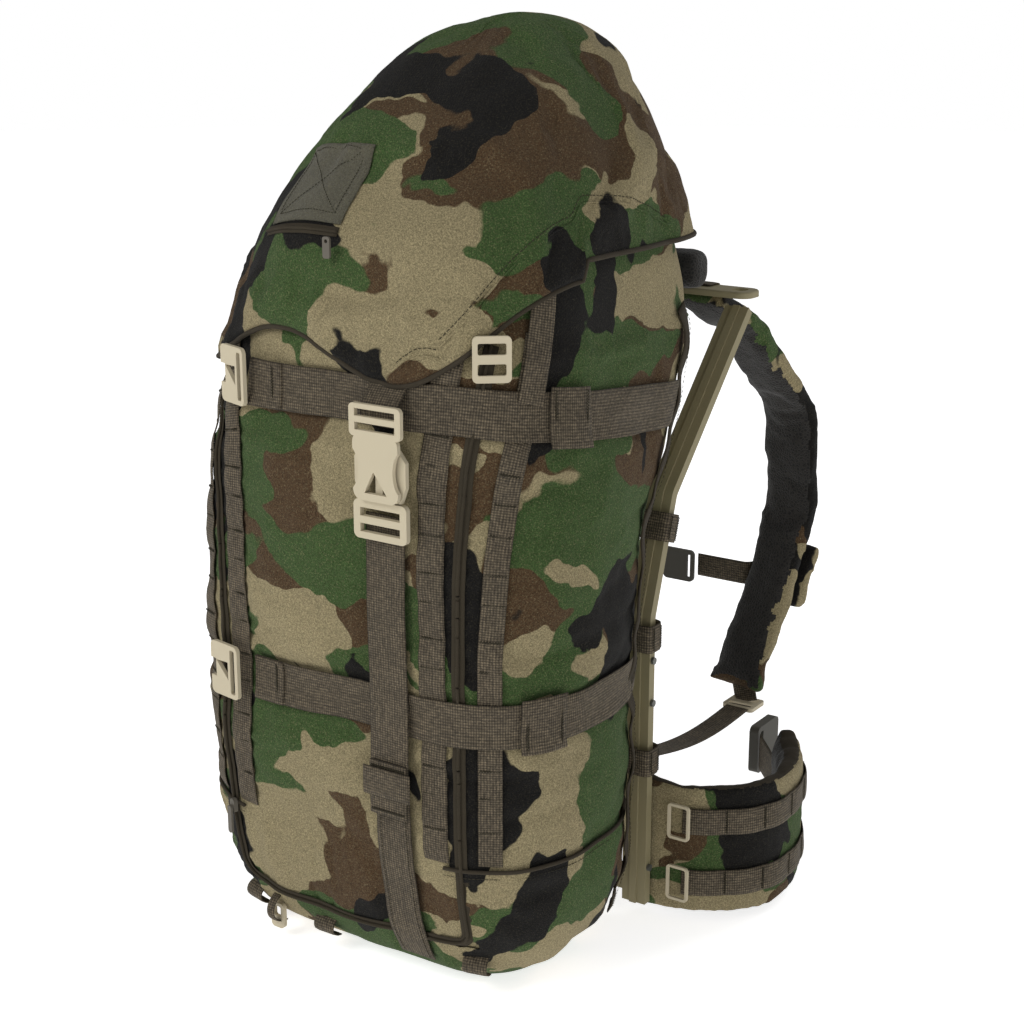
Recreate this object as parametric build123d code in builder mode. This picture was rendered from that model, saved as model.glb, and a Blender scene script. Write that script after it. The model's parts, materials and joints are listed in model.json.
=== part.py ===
from build123d import *
import math
import os

os.makedirs("parts", exist_ok=True)

# ---------------------------------------------------------------- driving dimensions (mm)
GAP = 0.4                  # air between neighbouring pieces
CLOTH = 5.0                # lined and padded bag wall
BOOT_CLOTH = 3.0           # tough skin around the foot of the bag
LID_CLOTH = 4.0            # wall of the lid
WEBBING = 1.6              # thickness of every webbing
WIDE_WEB = 38.0            # compression straps and lid strap
NARROW_WEB = 25.0          # rows sewn to the bag and the harness
TRIM = 0.3                 # height of a sewn row above the cloth

BOOT_TOP = 130.0           # seam between the boot and the bag
PANEL_HALF = 118.0         # half width of the zipped front panel
ROW_INNER = 101.0          # sewn rows beside the zip, centre x
ROW_OUTER = 140.0
ROW_TOP = 560.0
STRAP_X = 62.0             # lid strap, off to the wearer's right of the middle
UPPER_STRAP = 512.0        # height of the two compression straps
LOWER_STRAP = 258.0

LID_HINGE_Y = 207.0        # where the lid is sewn to the back of the bag
LID_HINGE_Z = 616.0
LID_CORNER_Z = 520.0       # the lid's edge: left corner, arch over the panel, beak at the strap
LID_ARCH_X = -45.0
LID_ARCH_Z = 560.0
LID_BEAK_Z = 528.0
LID_BEAK_HALF = 18.0

STAY_X = 156.0             # centre of each frame stay
STAY_WIDE = 24.0
STAY_THICK = 9.0
STAY_LEG_Y = 84.0          # the stay stands upright, then leans back in two steps
STAY_FOOT_Z = 14.0
STAY_LEG_TOP = 290.0
STAY_RUNS = ((110.0, 18.0), (195.0, 43.0))    # length and lean in degrees of each step

STRAP_PAD = 62.0           # width of a shoulder strap
STRAP_PAD_THICK = 14.0
STRAP_TOP_X = 100.0        # where a shoulder strap leaves the frame
STRAP_TOP_Y = 274.0
STRAP_SPREAD = 11.5        # degrees it turns outwards
STRAP_BEND = 60.0
STRAP_PATH = ((0, 538), (60, 510), (150, 410), (160, 310), (125, 215), (76, 132))

WING_PATH = ((152, 107), (206, 113), (250, 158), (240, 222), (206, 270))
WING_THICK = 14.0
WING_LOW = 8.0
WING_TALL = 124.0

BUCKLE_BACK = -159.5       # back face of the lid buckle's inner half
BUCKLE_THICK = 5.0
COVER_THICK = 4.0

# height, half width, front y, back y, shift in x, corner radius
BAG_STATIONS = (
    (4, 132, -96, 56, 0, 55),
    (30, 158, -122, 72, 0, 72),
    (80, 176, -140, 76, 0, 84),
    (200, 186, -150, 78, 0, 90),
    (320, 187, -152, 84, 0, 92),
    (400, 184, -151, 108, 2, 94),
    (460, 180, -149, 142, 4, 98),
    (520, 171, -146, 180, 8, 100),
    (580, 157, -139, 196, 14, 104),
    (640, 143, -126, 188, 18, 102),
)
COLLAR_STATIONS = (
    (594, 143, -125, 182, 15, 96),
    (636, 131, -112, 174, 18, 92),
    (670, 106, -82, 156, 20, 78),
)
LID_STATIONS = (
    (500, 182, -156, 178, 7, 106),
    (540, 175, -153, 203, 10, 109),
    (580, 166, -149, 209, 14, 111),
    (640, 153, -136, 200, 18, 111),
    (700, 136, -78, 190, 20, 100),
    (750, 106, -14, 164, 20, 72),
    (780, 66, 26, 134, 20, 46),
    (792, 24, 62, 98, 20, 15),
)


# ---------------------------------------------------------------- shared helpers
def write(builder, name):
    """Label a finished piece and write its STEP."""
    builder.part.label = name
    export_step(builder.part, f"parts/{name}.step")


def write_pair(builder, name):
    """Write a right-hand piece and its mirror image."""
    write(builder, f"{name}_right")
    with BuildPart() as other:
        add(builder.part)
        mirror(about=Plane.YZ, mode=Mode.REPLACE)
    write(other, f"{name}_left")


def outline(station, grow, drop=0.0):
    """One level outline of the bag or the lid, grown outwards."""
    height, half_width, front, back, shift, corner = station
    with BuildSketch(Plane.XY.offset(height - drop)) as level:
        with Locations((shift, (front + back) / 2)):
            RectangleRounded(2 * (half_width + grow), back - front + 2 * grow, corner + grow)
    return level.sketch


def lofted(stations, grow, foot=0.0):
    """Smooth solid through the outlines; foot lowers the first one."""
    levels = [outline(stations[0], grow, foot)]
    levels += [outline(station, grow) for station in stations[1:]]
    with BuildPart() as solid:
        loft(sections=levels)
    return solid.part


def blocks(*pieces):
    """Union of boxes, each a size, a centre and a turn about X in degrees."""
    with BuildPart() as union:
        for size, centre, turn in pieces:
            with Locations(Location(centre, (turn, 0, 0))):
                Box(*size)
    return union.part


def sewn(inner, outer, region):
    """Skin of the bag between two heights above its cloth, kept inside a region."""
    with BuildPart() as band:
        add(lofted(BAG_STATIONS, outer))
        add(lofted(BAG_STATIONS, inner), mode=Mode.SUBTRACT)
        add(region, mode=Mode.INTERSECT)
    return band.part


def station_at(height):
    """Bag outline worked out between two stations."""
    for low, high in zip(BAG_STATIONS, BAG_STATIONS[1:]):
        if low[0] <= height <= high[0]:
            part = (height - low[0]) / (high[0] - low[0])
            return tuple(a + part * (b - a) for a, b in zip(low, high))
    return BAG_STATIONS[-1]


def front_plane(x, height, lift):
    """Plane on the front of the bag at x and height, facing outwards."""
    _, half_width, front, _, shift, corner = station_at(height)
    reach = abs(x - shift) - (half_width - corner)
    side = math.copysign(1, x - shift)
    lean = math.asin(max(0.0, reach) / corner)
    y = front + corner - corner * math.cos(lean)
    normal = Vector(side * math.sin(lean), -math.cos(lean), 0)
    spot = Vector(x, y, height) + normal * lift
    return Plane(origin=spot, x_dir=(math.cos(lean), side * math.sin(lean), 0), z_dir=normal)


def ribbon(plane, path, thickness, width, radius):
    """Bent strip: a path in the plane, as thick as asked, spread evenly along its normal."""
    with BuildPart() as strip:
        with BuildSketch(plane):
            with BuildLine():
                FilletPolyline(*path, radius=radius)
            trace(line_width=thickness)
        extrude(amount=width / 2, both=True)
    return strip.part


def strap_plane(offset=0.0):
    """Upright plane along the right shoulder strap."""
    turn = math.radians(STRAP_SPREAD)
    across = Vector(math.cos(turn), -math.sin(turn), 0)
    start = Vector(STRAP_TOP_X, STRAP_TOP_Y, 0) + across * offset
    return Plane(origin=start, x_dir=(math.sin(turn), math.cos(turn), 0), z_dir=across)


# ---------------------------------------------------------------- bag
def make_main_bag():
    with BuildPart() as main_bag:
        add(lofted(BAG_STATIONS, 0))
        add(lofted(BAG_STATIONS, -CLOTH, -CLOTH), mode=Mode.SUBTRACT)
        mouth = outline(BAG_STATIONS[-1], -CLOTH, CLOTH)
        extrude(mouth, amount=2 * CLOTH, mode=Mode.SUBTRACT)
    write(main_bag, "main_bag")


def make_bottom_boot():
    floor = BAG_STATIONS[0][0]
    skin = TRIM + BOOT_CLOTH
    cutout_low = 45
    wide = 2 * (PANEL_HALF + 8)
    with BuildPart() as bottom_boot:
        add(lofted(BAG_STATIONS, skin, floor))
        add(lofted(BAG_STATIONS, TRIM, GAP), mode=Mode.SUBTRACT)
        add(blocks(((600, 600, BOOT_TOP), (0, 0, BOOT_TOP / 2), 0)), mode=Mode.INTERSECT)
        with Locations((0, -150, cutout_low + BOOT_TOP / 2)):
            Box(wide, 200, BOOT_TOP, mode=Mode.SUBTRACT)
    write(bottom_boot, "bottom_boot")


def make_storm_collar():
    with BuildPart() as storm_collar:
        add(lofted(COLLAR_STATIONS, 0))
        add(lofted(COLLAR_STATIONS, -2), mode=Mode.SUBTRACT)
    write(storm_collar, "storm_collar")


def make_collar_drawcord():
    top = COLLAR_STATIONS[-1]
    cord = 3.0
    with BuildPart() as collar_drawcord:
        extrude(outline(top, 0, -GAP), amount=cord)
        extrude(outline(top, -cord, -GAP), amount=cord, mode=Mode.SUBTRACT)
    write(collar_drawcord, "collar_drawcord")


def make_collar_cord_lock():
    with BuildPart() as collar_cord_lock:
        with Locations((20, COLLAR_STATIONS[-1][2] + 14, 655)):
            Cylinder(7, 20)
            fillet(collar_cord_lock.edges(), 2)
    write(collar_cord_lock, "collar_cord_lock")


def make_front_zip():
    low = 50
    tall = ROW_TOP - low
    upright = (8, 120, tall)
    foot = (2 * PANEL_HALF + 8, 120, 8)
    region = blocks(
        (upright, (PANEL_HALF, -120, low + tall / 2), 0),
        (upright, (-PANEL_HALF, -120, low + tall / 2), 0),
        (foot, (0, -120, low), 0),
    )
    with BuildPart() as front_zip:
        add(sewn(TRIM, TRIM + 1.4, region))
    write(front_zip, "front_zip")


def make_sewn_rows():
    low = BOOT_TOP + 4
    tall = ROW_TOP - low
    middle = low + tall / 2
    inner = (NARROW_WEB - 2, 160, tall)
    outer = (NARROW_WEB - 6, 160, tall)
    region = blocks(
        (inner, (ROW_INNER, -100, middle), 0),
        (inner, (-ROW_INNER, -100, middle), 0),
        (outer, (ROW_OUTER, -80, middle), 0),
        (outer, (-ROW_OUTER, -80, middle), 0),
    )
    with BuildPart() as sewn_rows:
        add(sewn(TRIM, TRIM + WEBBING, region))
    write(sewn_rows, "sewn_rows")


def make_compression_straps():
    slope = -16.5
    level = ((310, 130, WIDE_WEB), (65, -125, UPPER_STRAP), 0)
    down = ((60, 190, WIDE_WEB), (190, 6, UPPER_STRAP - 21), slope)
    with BuildPart() as upper:
        add(sewn(TRIM + WEBBING + GAP, TRIM + 2 * WEBBING + GAP, blocks(level, down)))
    write(upper, "upper_compression_strap")
    front = ((340, 160, WIDE_WEB), (65, -110, LOWER_STRAP), 0)
    side = ((60, 120, WIDE_WEB), (190, -32, LOWER_STRAP), 0)
    with BuildPart() as lower:
        add(sewn(TRIM + WEBBING + GAP, TRIM + 2 * WEBBING + GAP, blocks(front, side)))
    write(lower, "lower_compression_strap")


def make_strap_keepers():
    near = TRIM + 2 * WEBBING + 2 * GAP
    size = (46, 34, WIDE_WEB + 10)
    region = blocks((size, (176, -96, UPPER_STRAP), 0), (size, (184, -92, LOWER_STRAP), 0))
    face = BUCKLE_BACK - GAP
    depth = 4.0
    centre = 196
    with BuildPart() as strap_keepers:
        with Locations((STRAP_X, face - WEBBING + depth / 2, centre)):
            Box(WIDE_WEB + 7, depth, NARROW_WEB)
        with Locations((STRAP_X, face + depth / 2, centre)):
            Box(WIDE_WEB + 2, depth, NARROW_WEB + 1, mode=Mode.SUBTRACT)
        add(sewn(near, near + WEBBING, region))
    write(strap_keepers, "strap_keepers")


def make_front_strap():
    low = 168
    high = 424
    with BuildPart() as front_strap:
        with Locations((STRAP_X, BUCKLE_BACK + GAP + WEBBING / 2, (low + high) / 2)):
            Box(WIDE_WEB, WEBBING, high - low)
    write(front_strap, "front_strap")


def make_front_strap_anchor():
    low = 24
    tall = 184 - low
    near = TRIM + BOOT_CLOTH + 2 * GAP
    region = blocks(((WIDE_WEB, 120, tall), (STRAP_X, -120, low + tall / 2), 0))
    with BuildPart() as front_strap_anchor:
        add(sewn(near, near + WEBBING, region))
    write(front_strap_anchor, "front_strap_anchor")


def make_side_binding():
    near = TRIM + BOOT_CLOTH + 2 * GAP
    region = blocks(((60, 16, 350), (180, 38, 195), 0), ((60, 16, 90), (176, 70, 402), -40))
    with BuildPart() as side_binding:
        add(sewn(near, near + WEBBING, region))
        mirror(about=Plane.YZ)
    write(side_binding, "side_binding")


def make_top_ladder_lock():
    spot = front_plane(137, 552, TRIM + WEBBING + 6)
    with BuildPart() as top_ladder_lock:
        with BuildSketch(spot):
            RectangleRounded(30, 36, 4)
            with Locations((0, 8), (0, -8)):
                RectangleRounded(22, 9, 1.5, mode=Mode.SUBTRACT)
        extrude(amount=3)
    write(top_ladder_lock, "top_ladder_lock")


# ---------------------------------------------------------------- lid
def lid_trim():
    """Everything below the lid's edge: low at the left corner and the beak, high at the right and back."""
    left, right = -260, 260
    edge = (
        (left, LID_CORNER_Z), (-150, LID_CORNER_Z), (LID_ARCH_X, LID_ARCH_Z),
        (STRAP_X - LID_BEAK_HALF, LID_BEAK_Z), (STRAP_X + LID_BEAK_HALF, LID_BEAK_Z),
        (190, LID_HINGE_Z), (right, LID_HINGE_Z + 4),
    )
    deep = 300
    with BuildPart() as below:
        with BuildSketch(Plane.XZ.offset(40)):
            with BuildLine():
                Spline(*edge)
                Polyline(edge[-1], (260, 440), (-260, 440), edge[0])
            make_face()
        extrude(amount=deep)
        with BuildSketch(Plane.YZ.offset(-260)):
            Polygon((-41, 440), (260, 440), (260, LID_HINGE_Z + 3), (200, LID_HINGE_Z + 3), (-41, 516), align=None)
        extrude(amount=280)
        with BuildSketch(Plane.YZ.offset(19)):
            Polygon((-41, 440), (260, 440), (260, LID_HINGE_Z + 3), (-41, LID_HINGE_Z + 3), align=None)
        extrude(amount=280)
    return below.part


def make_lid():
    inner = tuple((s[0] - (LID_CLOTH if s[0] > 640 else 0),) + s[1:] for s in LID_STATIONS)
    with BuildPart() as lid:
        add(lofted(LID_STATIONS, 0))
        add(lofted(inner, -LID_CLOTH, 1), mode=Mode.SUBTRACT)
        add(lid_trim(), mode=Mode.SUBTRACT)
    write(lid, "lid")


def lid_skin(inner, outer, region):
    """Skin of the lid between two heights above its cloth, kept inside a region."""
    with BuildPart() as patch:
        add(lofted(LID_STATIONS, outer))
        add(lofted(LID_STATIONS, inner), mode=Mode.SUBTRACT)
        add(region, mode=Mode.INTERSECT)
    return patch.part


def make_lid_patch():
    with BuildPart() as lid_patch:
        add(lid_skin(TRIM, TRIM + 1.5, blocks(((78, 120, 56), (-38, -80, 672), 0))))
    write(lid_patch, "lid_patch")


def make_lid_zip():
    with BuildPart() as lid_zip:
        add(lid_skin(TRIM, TRIM + 1.5, blocks(((84, 60, 7), (-41, -120, 638), 0))))
    write(lid_zip, "lid_zip")


def make_lid_zip_pull():
    with BuildPart() as lid_zip_pull:
        with BuildSketch(Plane.XZ.offset(147)):
            with Locations((2, 628)):
                RectangleRounded(7, 17, 2)
            with Locations((2, 633)):
                Circle(1.6, mode=Mode.SUBTRACT)
        extrude(amount=2)
    write(lid_zip_pull, "lid_zip_pull")


def make_lid_strap():
    front = LID_STATIONS[1][2] - 3
    back = BUCKLE_BACK - BUCKLE_THICK + WEBBING
    path = ((front, 566), (front, 530), (back, 508), (back, 497))
    with BuildPart() as lid_strap:
        add(ribbon(Plane.YZ.offset(STRAP_X), path, WEBBING, WIDE_WEB, 5))
    write(lid_strap, "lid_strap")


def make_front_buckle_female():
    face = Plane.XZ.offset(-(BUCKLE_BACK - BUCKLE_THICK - GAP * 2))
    with BuildPart() as front_buckle_female:
        with BuildSketch(face):
            with Locations((STRAP_X, 501)):
                RectangleRounded(50, 26, 4)
            with Locations((STRAP_X, 507), (STRAP_X, 496)):
                Rectangle(WIDE_WEB + 1, 6, mode=Mode.SUBTRACT)
            with Locations((STRAP_X, 464)):
                RectangleRounded(44, 54, 8)
            with Locations((STRAP_X - 25, 462), (STRAP_X + 25, 462)):
                Ellipse(8, 17, mode=Mode.SUBTRACT)
            with Locations((STRAP_X, 452)):
                Triangle(c=20, b=22, a=22, align=(Align.CENTER, Align.CENTER), mode=Mode.SUBTRACT)
        extrude(amount=COVER_THICK)
    write(front_buckle_female, "front_buckle_female")


def make_front_buckle_male():
    with BuildPart() as front_buckle_male:
        with BuildSketch(Plane.XZ.offset(-BUCKLE_BACK)):
            with Locations((STRAP_X, 420)):
                RectangleRounded(52, 32, 5)
            with Locations((STRAP_X, 426), (STRAP_X, 413)):
                Rectangle(WIDE_WEB + 1, 7, mode=Mode.SUBTRACT)
            with Locations((STRAP_X, 449)):
                RectangleRounded(7, 34, 3)
        extrude(amount=BUCKLE_THICK)
    write(front_buckle_male, "front_buckle_male")


def make_front_buckle_arms():
    for side, word in ((1, "right"), (-1, "left")):
        root = STRAP_X + side * 17
        pad = STRAP_X + side * 21
        with BuildPart() as arm:
            with BuildSketch(Plane.XZ.offset(-BUCKLE_BACK - GAP)):
                Polygon(
                    (root - side * 3, 437), (root + side * 3, 437), (pad + side * 4, 450), (pad + side * 4, 470),
                    (pad - side * 3, 479), (pad - side * 7, 473), (root - side * 4, 452), align=None,
                )
            extrude(amount=BUCKLE_THICK - 2 * GAP)
        write(arm, f"front_buckle_arm_{word}")


# ---------------------------------------------------------------- hardware on the bag
def hook_plate(spot):
    """Flat hook: a slot for its strap, and two horns that grip a sewn row."""
    with BuildPart() as plate:
        with BuildSketch(spot):
            RectangleRounded(36, 48, 5)
            with Locations((11, 0)):
                RectangleRounded(6, 40, 1.5, mode=Mode.SUBTRACT)
            with Locations((-3, 0)):
                Triangle(c=22, b=16, a=16, rotation=90, align=(Align.CENTER, Align.CENTER), mode=Mode.SUBTRACT)
            with Locations((-15, 0)):
                Rectangle(8, 16, mode=Mode.SUBTRACT)
        extrude(amount=3.5)
    return plate.part


def make_hooks():
    for word, x, height in (("upper", -96, UPPER_STRAP + 4), ("lower", -112, LOWER_STRAP)):
        with BuildPart() as hook:
            add(hook_plate(front_plane(x, height, 7)))
        write(hook, f"{word}_strap_hook")


def make_front_zip_slider():
    spot = front_plane(-PANEL_HALF, 126, TRIM + 6)
    with BuildPart() as front_zip_slider:
        with BuildSketch(spot):
            RectangleRounded(7, 13, 3)
        extrude(amount=4)
        with BuildSketch(Plane(origin=spot.origin + spot.z_dir * 5, x_dir=spot.x_dir, z_dir=spot.z_dir)):
            with Locations((0, -12)):
                RectangleRounded(6, 26, 2.5)
        extrude(amount=2)
        with BuildSketch(Plane(origin=spot.origin + spot.z_dir * 3, x_dir=spot.x_dir, z_dir=spot.z_dir)):
            with Locations((0, -2)):
                Rectangle(4, 5)
        extrude(amount=3)
    write(front_zip_slider, "front_zip_slider")


def make_side_buckle():
    x = -193
    with BuildPart() as side_buckle_strap:
        with Locations((x, -22, 465)):
            Box(WEBBING, NARROW_WEB, 46)
    write(side_buckle_strap, "side_buckle_strap")
    with BuildPart() as side_buckle:
        with BuildSketch(Plane.YZ.offset(x - 4)):
            with Locations((-22, 418)):
                RectangleRounded(32, 46, 6)
            with Locations((-22, 433)):
                Rectangle(NARROW_WEB, 5, mode=Mode.SUBTRACT)
            with Locations((-22, 412)):
                Ellipse(6, 10, mode=Mode.SUBTRACT)
        extrude(amount=8)
    write(side_buckle, "side_buckle")


def make_bottom_loops():
    spots = (front_plane(-118, 28, 13), front_plane(-34, 24, 12), front_plane(118, 28, 13))
    with BuildPart() as bottom_loops:
        for spot in spots:
            with BuildSketch(spot):
                RectangleRounded(30, 22, 3)
                RectangleRounded(24, 15, 2, mode=Mode.SUBTRACT)
            extrude(amount=9)
        with BuildSketch(Plane.XZ.offset(12)):
            with Locations((-205, 36)):
                Ellipse(24, 14, rotation=-35)
                Ellipse(22, 12, rotation=-35, mode=Mode.SUBTRACT)
        extrude(amount=NARROW_WEB)
    write(bottom_loops, "bottom_loops")


def make_bottom_hook():
    spot = front_plane(-86, 22, 16)
    with BuildPart() as bottom_hook:
        with BuildSketch(spot):
            RectangleRounded(15, 24, 4)
            with Locations((0, 4)):
                RectangleRounded(8, 10, 2, mode=Mode.SUBTRACT)
        extrude(amount=4)
    write(bottom_hook, "bottom_hook")


# ---------------------------------------------------------------- frame
def stay_path():
    """Centre line of a stay: an upright leg, then each leaning run."""
    y, z = STAY_LEG_Y, STAY_LEG_TOP
    path = [(y, STAY_FOOT_Z), (y, z)]
    for length, lean in STAY_RUNS:
        y += length * math.sin(math.radians(lean))
        z += length * math.cos(math.radians(lean))
        path.append((y, z))
    return path


def stay_spot(height):
    """Where a stay is at a height, and how far it leans there in degrees."""
    path = stay_path()
    for (y_low, low), (y_high, high) in zip(path, path[1:]):
        if low <= height <= high:
            part = (height - low) / (high - low)
            return y_low + part * (y_high - y_low), math.degrees(math.atan2(y_high - y_low, high - low))
    return path[-1][0], STAY_RUNS[-1][1]


def make_frame_stays():
    with BuildPart() as stay:
        add(ribbon(Plane.YZ.offset(STAY_X), stay_path(), STAY_THICK, STAY_WIDE, 16))
        add(ribbon(Plane.YZ.offset(STAY_X), stay_path(), STAY_THICK + 4, 7, 16))
    write_pair(stay, "frame_stay")


def make_frame_bars():
    reach = STAY_X - STAY_WIDE / 2 - GAP
    with BuildPart() as frame_bars:
        with Locations((0, 86, 34), (0, 97, 330)):
            Box(2 * reach, 7, 26)
        fillet(frame_bars.edges().filter_by(Axis.X), 3)
    write(frame_bars, "frame_bars")


def make_frame_top_plate():
    half = STAY_X + STAY_WIDE / 2 + 4
    with BuildPart() as frame_top_plate:
        with BuildSketch(Plane.XY.offset(549)):
            with Locations((0, 252)):
                RectangleRounded(2 * half, 32, 12)
            with Locations((half - 16, 252), (16 - half, 252)):
                RectangleRounded(14, 14, 4, mode=Mode.SUBTRACT)
        extrude(amount=6)
        fillet(frame_top_plate.faces().sort_by(Axis.Z)[-1].outer_wire().edges(), 2)
    write(frame_top_plate, "frame_top_plate")


def make_frame_screws():
    with BuildPart() as frame_screws:
        for side in (-1, 1):
            for height in (50, 210, 250):
                spot = (side * (STAY_X + STAY_WIDE / 2 + 1.6), STAY_LEG_Y, height)
                with Locations(Location(spot, (0, 90, 0))):
                    Cylinder(3.2, 2.4)
    write(frame_screws, "frame_screws")


def make_stay_loops():
    outer = STAY_WIDE + 10
    deep = STAY_THICK + 14
    wall = 2.0
    with BuildPart() as stay_loops:
        for height in (155, 272, 366):
            y, lean = stay_spot(height)
            for side in (-1, 1):
                with Locations(Location((side * STAY_X, y, height), (-lean, 0, 0))):
                    Box(outer, deep, NARROW_WEB)
                with Locations(Location((side * STAY_X, y, height), (-lean, 0, 0))):
                    Box(outer - 2 * wall, deep - 2 * wall, 2 * NARROW_WEB, mode=Mode.SUBTRACT)
    write(stay_loops, "stay_loops")


def make_back_pad():
    with BuildPart() as back_pad:
        for side in (-1, 1):
            with Locations((side * 62, 112, 262)):
                Box(86, 18, 116)
        fillet(back_pad.edges(), 6)
    write(back_pad, "back_pad")


def make_lumbar_pad():
    with BuildPart() as lumbar_pad:
        with Locations((0, 110, 88)):
            Box(236, 26, 128)
        fillet(lumbar_pad.edges(), 8)
    write(lumbar_pad, "lumbar_pad")


def make_shoulder_yoke():
    with BuildPart() as shoulder_yoke:
        with Locations((0, 219, 575)):
            Box(268, 32, 34)
        fillet(shoulder_yoke.edges(), 10)
    write(shoulder_yoke, "shoulder_yoke")


def make_haul_handle():
    path = ((-46, 563), (-40, 582), (40, 582), (46, 563))
    with BuildPart() as haul_handle:
        add(ribbon(Plane.XZ.offset(-252), path, 3, 14, 8))
    write(haul_handle, "haul_handle")


# ---------------------------------------------------------------- harness
def make_shoulder_straps():
    with BuildPart() as pad:
        add(ribbon(strap_plane(), STRAP_PATH, STRAP_PAD_THICK, STRAP_PAD, STRAP_BEND))
    write_pair(pad, "shoulder_strap")


def make_strap_rows():
    lift = STRAP_PAD_THICK / 2
    path = STRAP_PATH[1:-1]
    with BuildSketch(strap_plane(-NARROW_WEB / 2)) as ring:
        with BuildLine():
            FilletPolyline(*path, radius=STRAP_BEND)
        trace(line_width=2 * (lift + GAP + WEBBING))
        with BuildLine():
            FilletPolyline(*path, radius=STRAP_BEND)
        trace(line_width=2 * (lift + GAP), mode=Mode.SUBTRACT)
    outer = ring.sketch.faces().sort_by(SortBy.AREA)[-1]
    with BuildPart() as strap_rows:
        extrude(outer, amount=NARROW_WEB)
        mirror(about=Plane.YZ)
    write(strap_rows, "strap_rows")


def make_lower_webbing():
    path = ((100, 150), (160, 142), (220, 126), (322, 116))
    with BuildPart() as lower_webbing:
        add(ribbon(Plane.YZ.offset(STAY_X - 8), path, WEBBING, NARROW_WEB, 60))
        mirror(about=Plane.YZ)
    write(lower_webbing, "lower_webbing")


def make_strap_adjusters():
    with BuildPart() as strap_adjusters:
        with BuildSketch(Plane.XY.offset(114)):
            with Locations((130, 341)):
                RectangleRounded(34, 30, 4)
            with Locations((130, 348), (130, 334)):
                Rectangle(NARROW_WEB + 1, 7, mode=Mode.SUBTRACT)
        extrude(amount=4)
        mirror(about=Plane.YZ)
    write(strap_adjusters, "strap_adjusters")


def make_sternum_strap():
    height = 232
    y = 404
    with BuildPart() as sternum_strap_right:
        with Locations((65, y, height)):
            Box(52, WEBBING, NARROW_WEB)
    write(sternum_strap_right, "sternum_strap_right")
    with BuildPart() as sternum_strap_left:
        with Locations((-49, y, height)):
            Box(84, WEBBING, NARROW_WEB)
    write(sternum_strap_left, "sternum_strap_left")
    cover = y - WEBBING / 2 - GAP
    with BuildPart() as sternum_buckle_female:
        with BuildSketch(Plane.XZ.offset(-cover + 6 + GAP)):
            with Locations((22, height)):
                RectangleRounded(36, 34, 5)
            with Locations((34, height)):
                Rectangle(4, NARROW_WEB, mode=Mode.SUBTRACT)
        extrude(amount=3.5)
    write(sternum_buckle_female, "sternum_buckle_female")
    with BuildPart() as sternum_buckle_male:
        with BuildSketch(Plane.XZ.offset(-cover)):
            with Locations((-10, height)):
                RectangleRounded(22, 33, 4)
            with Locations((-15, height), (-7, height)):
                Rectangle(4, NARROW_WEB, mode=Mode.SUBTRACT)
            with Locations((12, height), (12, height + 11), (12, height - 11)):
                RectangleRounded(26, 6, 2)
        extrude(amount=5)
    write(sternum_buckle_male, "sternum_buckle_male")


def make_shoulder_pouch():
    with BuildPart() as shoulder_pouch:
        with BuildSketch(strap_plane(-26)):
            with Locations(Location((160, 233), -25)):
                RectangleRounded(14, 64, 5)
        extrude(amount=52)
    write(shoulder_pouch, "shoulder_pouch")


# ---------------------------------------------------------------- hip belt
def wing_face(reach):
    """Plan of the hip wing, spread evenly about its middle line."""
    with BuildSketch(Plane.XY.offset(WING_LOW)) as plan:
        with BuildLine():
            Spline(*WING_PATH)
        trace(line_width=2 * reach)
    return plan.sketch


def make_hip_wings():
    with BuildPart() as wing:
        extrude(wing_face(WING_THICK / 2), amount=WING_TALL)
    write_pair(wing, "hip_wing")


def make_wing_rows():
    near = WING_THICK / 2 + GAP
    with BuildSketch(Plane.XY.offset(WING_LOW)) as ring:
        add(wing_face(near + WEBBING))
        add(wing_face(near), mode=Mode.SUBTRACT)
    outer = ring.sketch.faces().sort_by(SortBy.AREA)[-1]
    with BuildPart() as rows:
        for lift in (19, 79):
            with Locations((0, 0, lift)):
                add(outer)
            extrude(amount=NARROW_WEB)
    write_pair(rows, "wing_rows")


def make_wing_buckles():
    with BuildPart() as webbing:
        with Locations(Location((176, 306, 70), (0, 0, 38))):
            Box(WEBBING, 76, WIDE_WEB)
    write_pair(webbing, "belt_webbing")
    for word, side in (("right", 1), ("left", -1)):
        with BuildPart() as buckle:
            with BuildSketch(Plane.YZ.offset(side * 146 - 5)):
                with Locations((358, 70)):
                    RectangleRounded(46, 50, 6)
                with Locations((344, 70)):
                    Rectangle(6, WIDE_WEB + 1, mode=Mode.SUBTRACT)
            extrude(amount=10)
        write(buckle, f"belt_buckle_{word}")


def make_wire_loops():
    with BuildPart() as wire:
        for height in (40, 100):
            with BuildSketch(Plane.XZ.offset(-90)):
                with Locations((196, height)):
                    RectangleRounded(22, 34, 4)
                    RectangleRounded(17, 29, 2, mode=Mode.SUBTRACT)
            extrude(amount=2.5)
    write_pair(wire, "wing_wire_loops")


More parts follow.
